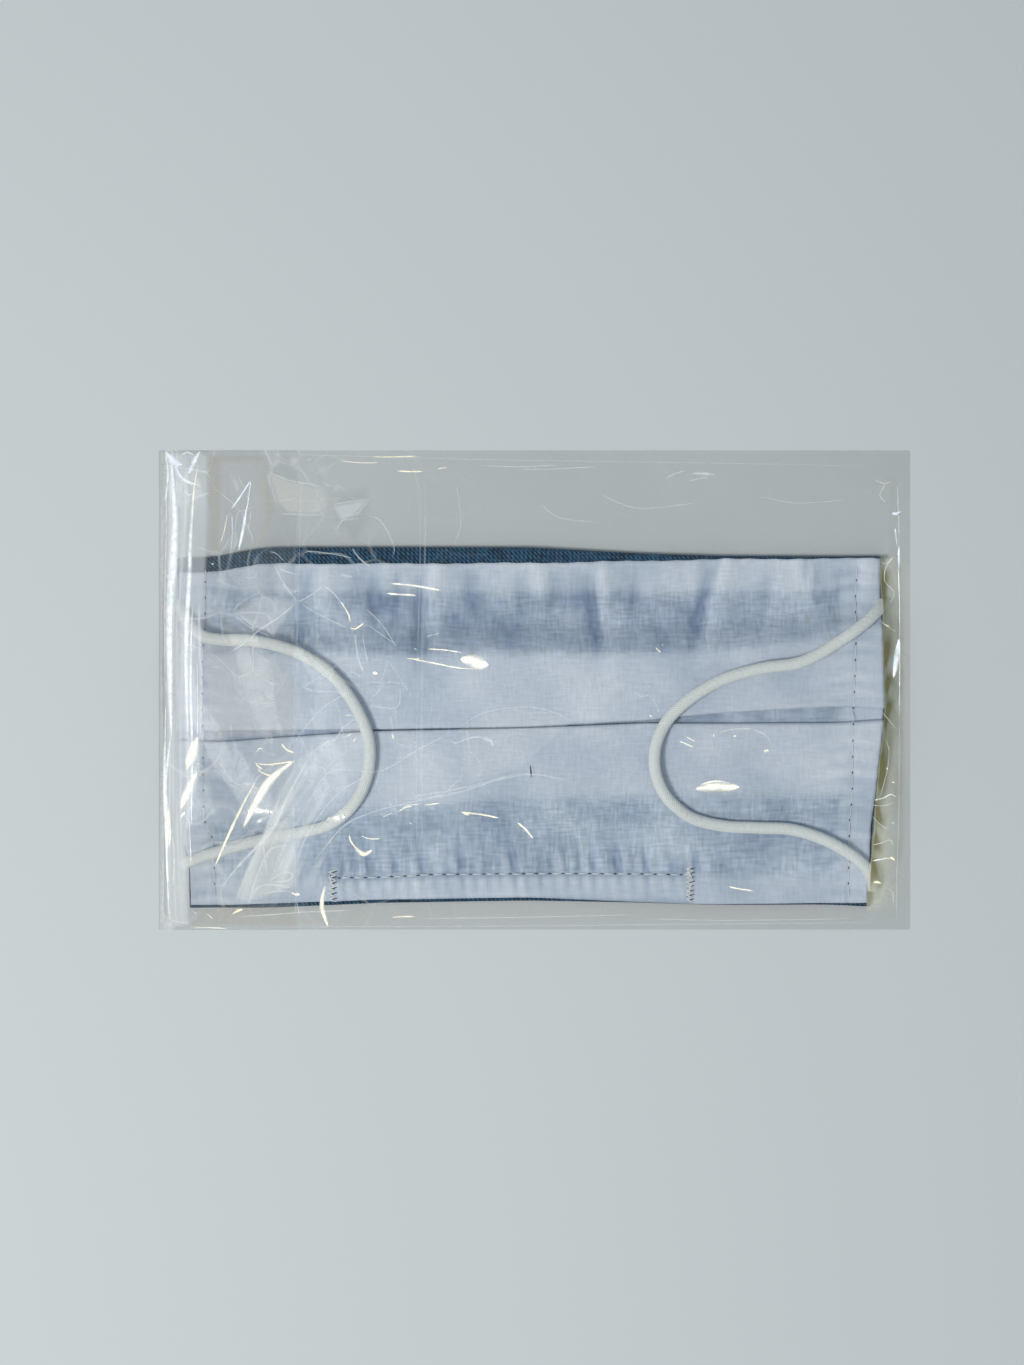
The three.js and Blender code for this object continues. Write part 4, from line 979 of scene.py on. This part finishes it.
def film_height(x, y):
    """The front film with its creases, kept off the cloth and the loops below it."""
    z = sum(drape_height(x, y + shift) for shift in (-3, -1.5, 0, 1.5, 3)) / 5
    edge_room = np.clip((PACKET_W / 2 - np.abs(x)) / 4, 0, 1) * np.clip((PACKET_L / 2 - np.abs(y)) / 4, 0, 1)
    left_side = 0.25 + 0.75 * edge(-46 - x, 6)
    folds = (crumple(x, y, 4, 0.13, 3) + crumple(x * 1.7, y * 1.7, 3, 0.08, 11)) * left_side
    strip = np.exp(-(((x + 87.5) / 3.2) ** 2))
    folds += 0.12 * strip * np.sin(1.5 * x + 0.8 * np.sin(y * 0.09) + 0.015 * y)
    seam = np.exp(-(((x - 90.0) / 2.6) ** 2))
    folds += 0.24 * seam * np.sin(y * 0.9 + 1.2 * np.sin(y * 0.23) + 0.5 * x)
    for _, _, slope, corners in facets:
        folds += slope * facet_depth(x, y, corners)
    return z + folds * edge_room


def film_looks(x, y):
    """How much haze and painted sheen, warmth and crinkle the film shows, and its painted shadow and warm
    reflection where it turns down past the mask.
    """
    haze_and_painted_sheen = np.zeros(x.shape)
    warm = np.full(x.shape, 0.2)
    dark = np.zeros(x.shape)
    # Pale facets get painted sheen; facets with a negative strength get a painted dark reflection, kept with
    # the painted shade
    for strength, warmth, _, corners in facets:
        inside = np.clip(facet_depth(x, y, corners) / (0.8 if strength > 0 else 2.0), 0, 1)
        haze_and_painted_sheen = np.maximum(haze_and_painted_sheen, strength * inside)
        warm += (warmth - warm) * inside
        dark = np.maximum(dark, -strength * inside)
    # Painted reflections: pale streaks down the film's left side, where it falls to the fold
    for at_x, wide, strength, beat in (
        (-92.6, 0.3, 0.7, 0.11),
        (-91.3, 0.45, 0.9, 0.06),
        (-89.9, 0.3, 0.65, 0.15),
        (-88.6, 0.35, 0.5, 0.09),
        (-87.4, 0.3, 0.5, 0.17),
        (-85.6, 0.5, 0.15, 0.07),
    ):
        streak_reflection = (0.65 + 0.35 * np.sin(y * beat + at_x)) * edge(y + 46, 8)
        haze_and_painted_sheen += strength * streak_reflection * np.exp(-(((x - at_x - 0.35 * np.sin(y * 0.07 + at_x)) / wide) ** 2))
    # Painted highlights: soft pale diagonal streaks low on the left
    fan = np.exp(-(((x + 62.0) / 11.0) ** 4) - ((y + 34.0) / 17.0) ** 4)
    slant = 0.88 * x - 0.47 * y + 1.2 * np.sin(y * 0.13)
    broad = 0.42 * np.clip(np.sin(slant * 0.9), 0, 1) ** 5
    haze_and_painted_sheen += fan * (broad + 0.3 * np.clip(np.sin(slant * 2.3 + 1.0), 0, 1) ** 7)
    # Painted warm reflection in the film beside the right seal
    beside = np.exp(-(((x - 91.0 - 0.5 * np.sin(y * 0.31)) / 1.7) ** 2)) * edge(y + 46, 3) * edge(30 - y, 4)
    haze_and_painted_sheen += beside * (0.12 + 0.08 * np.sin(y * 0.45 + np.sin(y * 0.13)))
    warm += (0.7 - warm) * np.clip(beside, 0, 1) * (x > 80)
    crinkled = 0.15 + 0.85 * edge(-42 - x, 5) * (0.55 + 0.45 * slack(x * 1.4, y * 1.6))
    # Painted shadow and painted warm reflection on the film beside the mask's right edge: darkest close to
    # the edge, fading further out
    share = (y - CENTRE[1]) / (MASK_LENGTH / 2)
    past = x - CENTRE[0] - np.interp(share, sides["up"], sides["right"]) * MASK_WIDTH / 2
    ends = np.clip((share + 1.06) / 0.1, 0, 1) * np.clip((1.06 - share) / 0.1, 0, 1)
    shaded = np.exp(-((np.clip(past, 0, None) / 4.4) ** 1.3)) * np.clip(past / 0.6 + 1, 0, 1)
    shaded *= ends * (0.85 + 0.15 * np.sin(y * 0.6 + np.sin(x * 1.4) + 2 * np.sin(y * 0.17)))
    warm += (1 - warm) * np.clip(shaded * 12, 0, 1)
    return haze_and_painted_sheen, warm, crinkled, np.maximum(shaded, dark)


def unshadowed(piece):
    """A piece of clear film: it casts no shadow and takes no light from what lies below it."""
    piece.visible_shadow = False
    piece.visible_diffuse = False
    return piece


def open_sheet(name, points, values):
    """A film too thin to show an edge: one sheet through a grid of points in millimetres."""
    rows, cols = points.shape[:2]
    mesh = bpy.data.meshes.new(name)
    mesh.from_pydata((points.reshape(-1, 3) * MM).tolist(), [], quads_of(rows, cols).tolist())
    mesh.shade_smooth()
    for key, field in values.items():
        keep(mesh, key, field)
    return unshadowed(add_object(name, mesh))


film, tree, shader = new_material("clear_film")
warm = stored(tree, "warm")
place = places(tree)


def cell_walls(tree, place, scale, wide):
    """1 on the walls between cells of this many to a metre, 0 inside them."""
    cells = {"Vector": place, "Scale": scale}
    cells = node(tree, "ShaderNodeTexVoronoi", cells, feature="DISTANCE_TO_EDGE").outputs[0]
    return remap(tree, cells, 0.0, wide, 1.0, 0.0)


scuffs = cell_walls(tree, place, 120.0, 0.04)
bump = node(tree, "ShaderNodeBump", {"Strength": 0.12, "Distance": 0.0003, "Height": scuffs})
tree.links.new(bump.outputs[0], shader.inputs["Normal"])
# Colour of the film's reflection, from cool grey to amber as the film grows warm; the amber is painted warm
# reflection
tint = between(tree, warm, (0.78, 0.81, 0.84, 1.0), (0.46, 0.37, 0.18, 1.0))
# Colour of the haze and painted sheen: pale blue-white, turning dark amber where the film is warm
haze_and_sheen_colour = between(tree, warm, (0.93, 0.96, 1.0, 1.0), (0.40, 0.31, 0.13, 1.0))
bend = vector_of(tree, "SCALE", {0: noise(tree, place, 45.0, 1.0, "Color"), "Scale": 0.022})
# A net of thin pale lines on the crinkles: painted highlights
net = cell_walls(tree, vector_of(tree, "ADD", {0: place, 1: bend}), 70.0, 0.03)
net = sum_of(tree, "MULTIPLY", net, remap(tree, noise(tree, place, 55.0, 2.0), 0.42, 0.6))
net = sum_of(tree, "MULTIPLY", net, stored(tree, "crinkled"))
haze_and_painted_sheen = sum_of(tree, "MULTIPLY_ADD", net, 0.7, stored(tree, "haze_and_painted_sheen"))
# Reflection off either side of the film: 4 % seen straight on, rising at a slant
turned_away = node(tree, "ShaderNodeLayerWeight", {"Blend": 0.5}).outputs["Facing"]
gleam = sum_of(tree, "MULTIPLY_ADD", sum_of(tree, "POWER", turned_away, 5.0), 0.96, 0.04)
smear = noise(tree, place, 25.0, 3.0)
tree.links.new(remap(tree, smear, 0.0, 1.0, 0.05, 0.16), shader.inputs["Roughness"])
# Painted shade on the film: dark olive beside the mask's right edge, pale amber further out, and dark grey on
# the darker facets
shaded = stored(tree, "shaded")
depth = remap(tree, shaded, 0.42, 0.8)
amber = between(tree, depth, (0.98, 0.98, 0.76, 1.0), (0.28, 0.26, 0.12, 1.0))
painted_shade_colour = between(tree, warm, (0.10, 0.09, 0.06, 1.0), amber)
shaded = sum_of(tree, "MULTIPLY", shaded, sum_of(tree, "MULTIPLY_ADD", smear, 0.9, 0.42))
# What the film shows, part by part: how much of it, its colour and how brightly it counts
parts = [
    (sum_of(tree, "MULTIPLY", gleam, 0.9), tint, 0.8),
    (sum_of(tree, "MULTIPLY", haze_and_painted_sheen, 0.62), haze_and_sheen_colour, 0.9),
    (sum_of(tree, "MULTIPLY_ADD", smear, 0.06, 0.07), (0.06, 0.05, 0.03), 0.05),
    (shaded, painted_shade_colour, 0.4),
]
covers = sum_of(tree, "MAXIMUM", sum_of(tree, "ADD", parts[0][0], parts[1][0]), 0.001)
covers = sum_of(tree, "ADD", covers, sum_of(tree, "ADD", parts[2][0], parts[3][0]))
colour, light = (0.0, 0.0, 0.0), 0.0
for share, part, brightness in parts:
    weighed = vector_of(tree, "SCALE", {0: part, "Scale": share})
    colour = vector_of(tree, "ADD", {0: colour, 1: weighed})
    light = sum_of(tree, "MULTIPLY_ADD", share, brightness, light)
mirrored = sum_of(tree, "DIVIDE", sum_of(tree, "MULTIPLY", gleam, 0.72), light)
colour = vector_of(tree, "SCALE", {0: colour, "Scale": sum_of(tree, "DIVIDE", 1.0, covers)})
tree.links.new(colour, shader.inputs["Base Color"])
tree.links.new(mirrored, shader.inputs["Metallic"])
shader.inputs["Specular IOR Level"].default_value = 0.0
tree.links.new(node(tree, "ShaderNodeClamp", {0: covers, 1: 0.0, 2: 0.95}).outputs[0], shader.inputs["Alpha"])

STEP = 0.56
rows_y = np.linspace(PACKET_L / 2, -PACKET_L / 2, int(PACKET_L / STEP))
columns_x = np.linspace(PACKET_W / 2, -PACKET_W / 2 + 0.8, int(PACKET_W / STEP))
fold_x = columns_x[-1]


def lying(x, y, lift=0.0):
    """Points of film over these places, and how they look."""
    looks = dict(zip(("haze_and_painted_sheen", "warm", "crinkled", "shaded"), film_looks(x, y)))
    return np.stack([x, y, np.maximum(film_height(x, y), WALL) + lift], axis=-1), looks


flap_x, flap_y = np.meshgrid(columns_x[columns_x < -PACKET_W / 2 + FLAP_REACH][::-1], rows_y)
over, over_looks = lying(flap_x, flap_y, FLAP_LIFT)
over[..., 2] += 0.25 * np.clip((flap_x + 92) / 4, 0, 1) * (1 + slack(flap_x * 1.3, flap_y * 1.1))
back_x, back_y = np.meshgrid(np.linspace(PACKET_W / 2, fold_x, 50), rows_y)
back = np.stack([back_x, back_y, np.full_like(back_x, WALL / 2)], axis=-1)
angle = np.linspace(-math.pi / 2, math.pi / 2, 9)[1:-1]
low, high = WALL / 2, over[:, 0, 2][:, None]
turn_x = np.broadcast_to(fold_x - 0.7 * np.cos(angle), (len(rows_y), len(angle)))
turn_z = low + (high - low) * (1 + np.sin(angle)) / 2
turned = np.stack([turn_x, np.broadcast_to(rows_y[:, None], turn_x.shape), turn_z], axis=-1)
plain = np.zeros((len(rows_y), back.shape[1] + turned.shape[1]))
for key, field in over_looks.items():
    shown = field * (1.0 if key != "shaded" else 0.35) + 0.07 * (key == "haze_and_painted_sheen")
    over_looks[key] = np.concatenate([plain + 0.2 * (key == "warm"), shown], axis=1)
whole = np.concatenate([back, turned, over], axis=1)
back_and_flap = open_sheet("packet_back_film", whole, over_looks)
back_and_flap.data.materials.append(film)
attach(back_and_flap, "root")
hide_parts("packet_back_and_flap")

# ---- Packet: front panel ----
# The same film, laid over the mask and heat-sealed to the back along its edges.
front_x, front_y = np.meshgrid(columns_x, rows_y)
front_points, front_looks = lying(front_x, front_y)
front = open_sheet("packet_front_film", front_points, front_looks)
front.data.materials.append(film)
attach(front, "root")
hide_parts("packet_front")

# ---- Packet: pinched creases ----
# Where the film has been pinched it keeps a hard little fold, a blade of doubled film that catches the light.
# The bright blades mirror the gleam lamp through tilted normals, tinted cream at their rims with painted warm
# colour; the faint ones are painted highlights, pale film laid along the crease.
TILT = 0.29
AWAY = np.array([0.934, 0.356])
WIDE_CREASE, FLAP_EDGE = 0.7, -59.6


def blade(strength, width, warmth, route):
    """Rows of points across a crease, with how strongly and how warmly each point shows."""
    p = np.array([route[0], *route, route[-1]], dtype=float)
    fine = []
    for a, b, c, d in zip(p, p[1:], p[2:], p[3:]):
        for t in np.linspace(0, 1, max(2, int(np.linalg.norm(c - b) / 0.6)), endpoint=False):
            spot = 2 * b + (c - a) * t + (2 * a - 5 * b + 4 * c - d) * t**2
            fine.append(0.5 * (spot + (3 * b - a - 3 * c + d) * t**3))
    line = np.array(fine + [p[-1]])
    ahead = np.gradient(line, axis=0)
    ahead /= np.maximum(np.linalg.norm(ahead, axis=1, keepdims=True), 1e-9)
    aside = np.column_stack([-ahead[:, 1], ahead[:, 0]])
    t = np.linspace(0, 1, len(line))
    wide = width > WIDE_CREASE
    if wide:
        half = 0.6 * width * np.clip(np.sin(math.pi * t), 0.02, 1) ** 0.8
        across = np.array([-1.0, -0.7, 0.0, 0.7, 1.0])
    else:
        half = 0.6 * width * np.clip(np.sin(math.pi * t) * 2, 0.2, 1) * 0.85
        across = np.array([-1.0, 0.0, 1.0])
    spots = line[:, None] + aside[:, None] * (half[:, None] * across)[..., None]
    z = film_height(line[:, 0], line[:, 1]) + np.where(line[:, 0] < FLAP_EDGE, FLAP_LIFT + 0.55, 0.0)
    lean = ((spots - line[:, None]) @ AWAY) * TILT * 0.5
    z = z[:, None] + 0.08 + lean - lean.min(axis=1, keepdims=True)
    slope = TILT + 0.16 * across[None] * np.ones((len(line), 1)) + 0.07 * np.sin(5 * t + width)[:, None]
    tilted = np.stack([-slope * AWAY[0], -slope * AWAY[1], np.ones_like(slope)], axis=-1)
    shown = np.interp(np.abs(across), [0.0, 0.7, 1.0], [1.0, 0.4, 0.0])
    ends = np.clip(np.minimum(t, 1 - t) * 12, 0, 1)[:, None]
    show = strength * (1.1 if strength > 0.75 else 1.25) * shown * ends
    warms = np.clip(warmth + 0.6 * (across**2 - 0.3) * wide, 0, 1)[None] * np.ones(show.shape)
    hard = np.full(show.shape, np.clip((strength - 0.6) / 0.3, 0, 1))
    return np.dstack([spots, z]), show, warms, hard, tilted


verts, faces, normals = [], [], []
looks = {"show": [], "warm": [], "hard": []}
for crease in creases:
    points, *fields, tilted = blade(*crease)
    faces += quads_of(*points.shape[:2], len(verts)).tolist()
    verts += (points.reshape(-1, 3) * MM).tolist()
    for key, field in zip(looks, fields):
        looks[key] += field.reshape(-1).tolist()
    normals += (tilted / np.linalg.norm(tilted, axis=-1, keepdims=True)).reshape(-1, 3).tolist()
mesh = bpy.data.meshes.new("film_creases")
mesh.from_pydata(verts, [], faces)
mesh.shade_smooth()
for key, field in looks.items():
    keep(mesh, key, field)
mesh.normals_split_custom_set_from_vertices(normals)
pinched = unshadowed(add_object("film_creases", mesh))
crease_film, tree, shader = new_material("creased_film")
warm = stored(tree, "warm")
broken = remap(tree, noise(tree, places(tree), 420.0, 3.0), 0.35, 0.6, 0.55, 1.05)
seen = sum_of(tree, "MULTIPLY", stored(tree, "show"), broken)
seen = node(tree, "ShaderNodeClamp", {0: seen}).outputs[0]
tree.links.new(seen, shader.inputs["Alpha"])
# Faint creases are painted highlights in pale film that shows from any side; bright ones mirror the lamp,
# with painted cream on their rims
tint = between(tree, warm, (0.52, 0.56, 0.63, 1.0), (0.66, 0.58, 0.36, 1.0))
soft = between(tree, warm, (0.90, 0.95, 1.0, 1.0), (1.0, 0.96, 0.80, 1.0))
hard = stored(tree, "hard")
tree.links.new(between(tree, hard, soft, tint), shader.inputs["Base Color"])
tree.links.new(sum_of(tree, "MULTIPLY", hard, 0.9), shader.inputs["Metallic"])
shader.inputs["Roughness"].default_value = 0.3
shader.inputs["Specular IOR Level"].default_value = 0.0
mesh.materials.append(crease_film)
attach(pinched, "root")
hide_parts("packet_front")

# ---- Table, light and camera ----
# A plain pale table top, a window at the left that lights it, two weaker lamps that are only
# seen in gloss, and the camera straight above.
table = bpy.data.meshes.new("table")
table.from_pydata([(-3, -3, 0), (3, -3, 0), (3, 3, 0), (-3, 3, 0)], [], [(0, 1, 2, 3)])
floor = add_object("table", table)
floor.location.z = -0.00005
pale, _, shader = new_material("pale_table")
shader.inputs["Base Color"].default_value = (0.62, 0.645, 0.655, 1.0)
shader.inputs["Roughness"].default_value = 0.9
table.materials.append(pale)

world = bpy.data.worlds.new("soft_room")
world.use_nodes = True
sky = world.node_tree.nodes["Background"]
sky.inputs["Color"].default_value = (0.80, 0.92, 1.0, 1.0)
sky.inputs["Strength"].default_value = 0.45
bpy.context.scene.world = world
bpy.context.scene.view_settings.view_transform = "Standard"


def lamp(name, place, size, power, colour, gleams=True, shines=True):
    """A soft lamp facing the mask; one that only gleams is seen in gloss and lights nothing."""
    light = bpy.data.lights.new(name, "AREA")
    light.shape = "RECTANGLE"
    light.size, light.size_y = size
    light.energy = power
    light.color = colour
    made = add_object(name, light)
    made.location = place
    made.rotation_euler = (-Vector(place)).to_track_quat("-Z", "Y").to_euler()
    made.visible_glossy = gleams
    made.visible_diffuse = shines


lamp("window", (-0.48, -0.24, 0.94), (0.20, 0.24), 6.6, (1.0, 0.98, 0.93), gleams=False)
lamp("window_gleam", (-0.42, -0.16, 0.70), (0.50, 0.60), 2.4, (0.97, 0.99, 1.0), shines=False)
lamp("low_gleam", (-0.30, -0.34, 0.80), (0.05, 0.05), 0.5, (1.0, 0.95, 0.8), shines=False)

CAMERA_HEIGHT, MATCHED_HEIGHT, FIELD = 0.6, 0.004, 0.34125
camera = bpy.data.cameras.new("camera")
camera.sensor_fit = "AUTO"
camera.sensor_width = 36.0
camera.lens = 36.0 * (CAMERA_HEIGHT - MATCHED_HEIGHT) / FIELD
camera.clip_start = 0.01
viewer = add_object("camera", camera)
viewer.location = (-0.005625, 0.001875, CAMERA_HEIGHT)
bpy.context.scene.camera = viewer
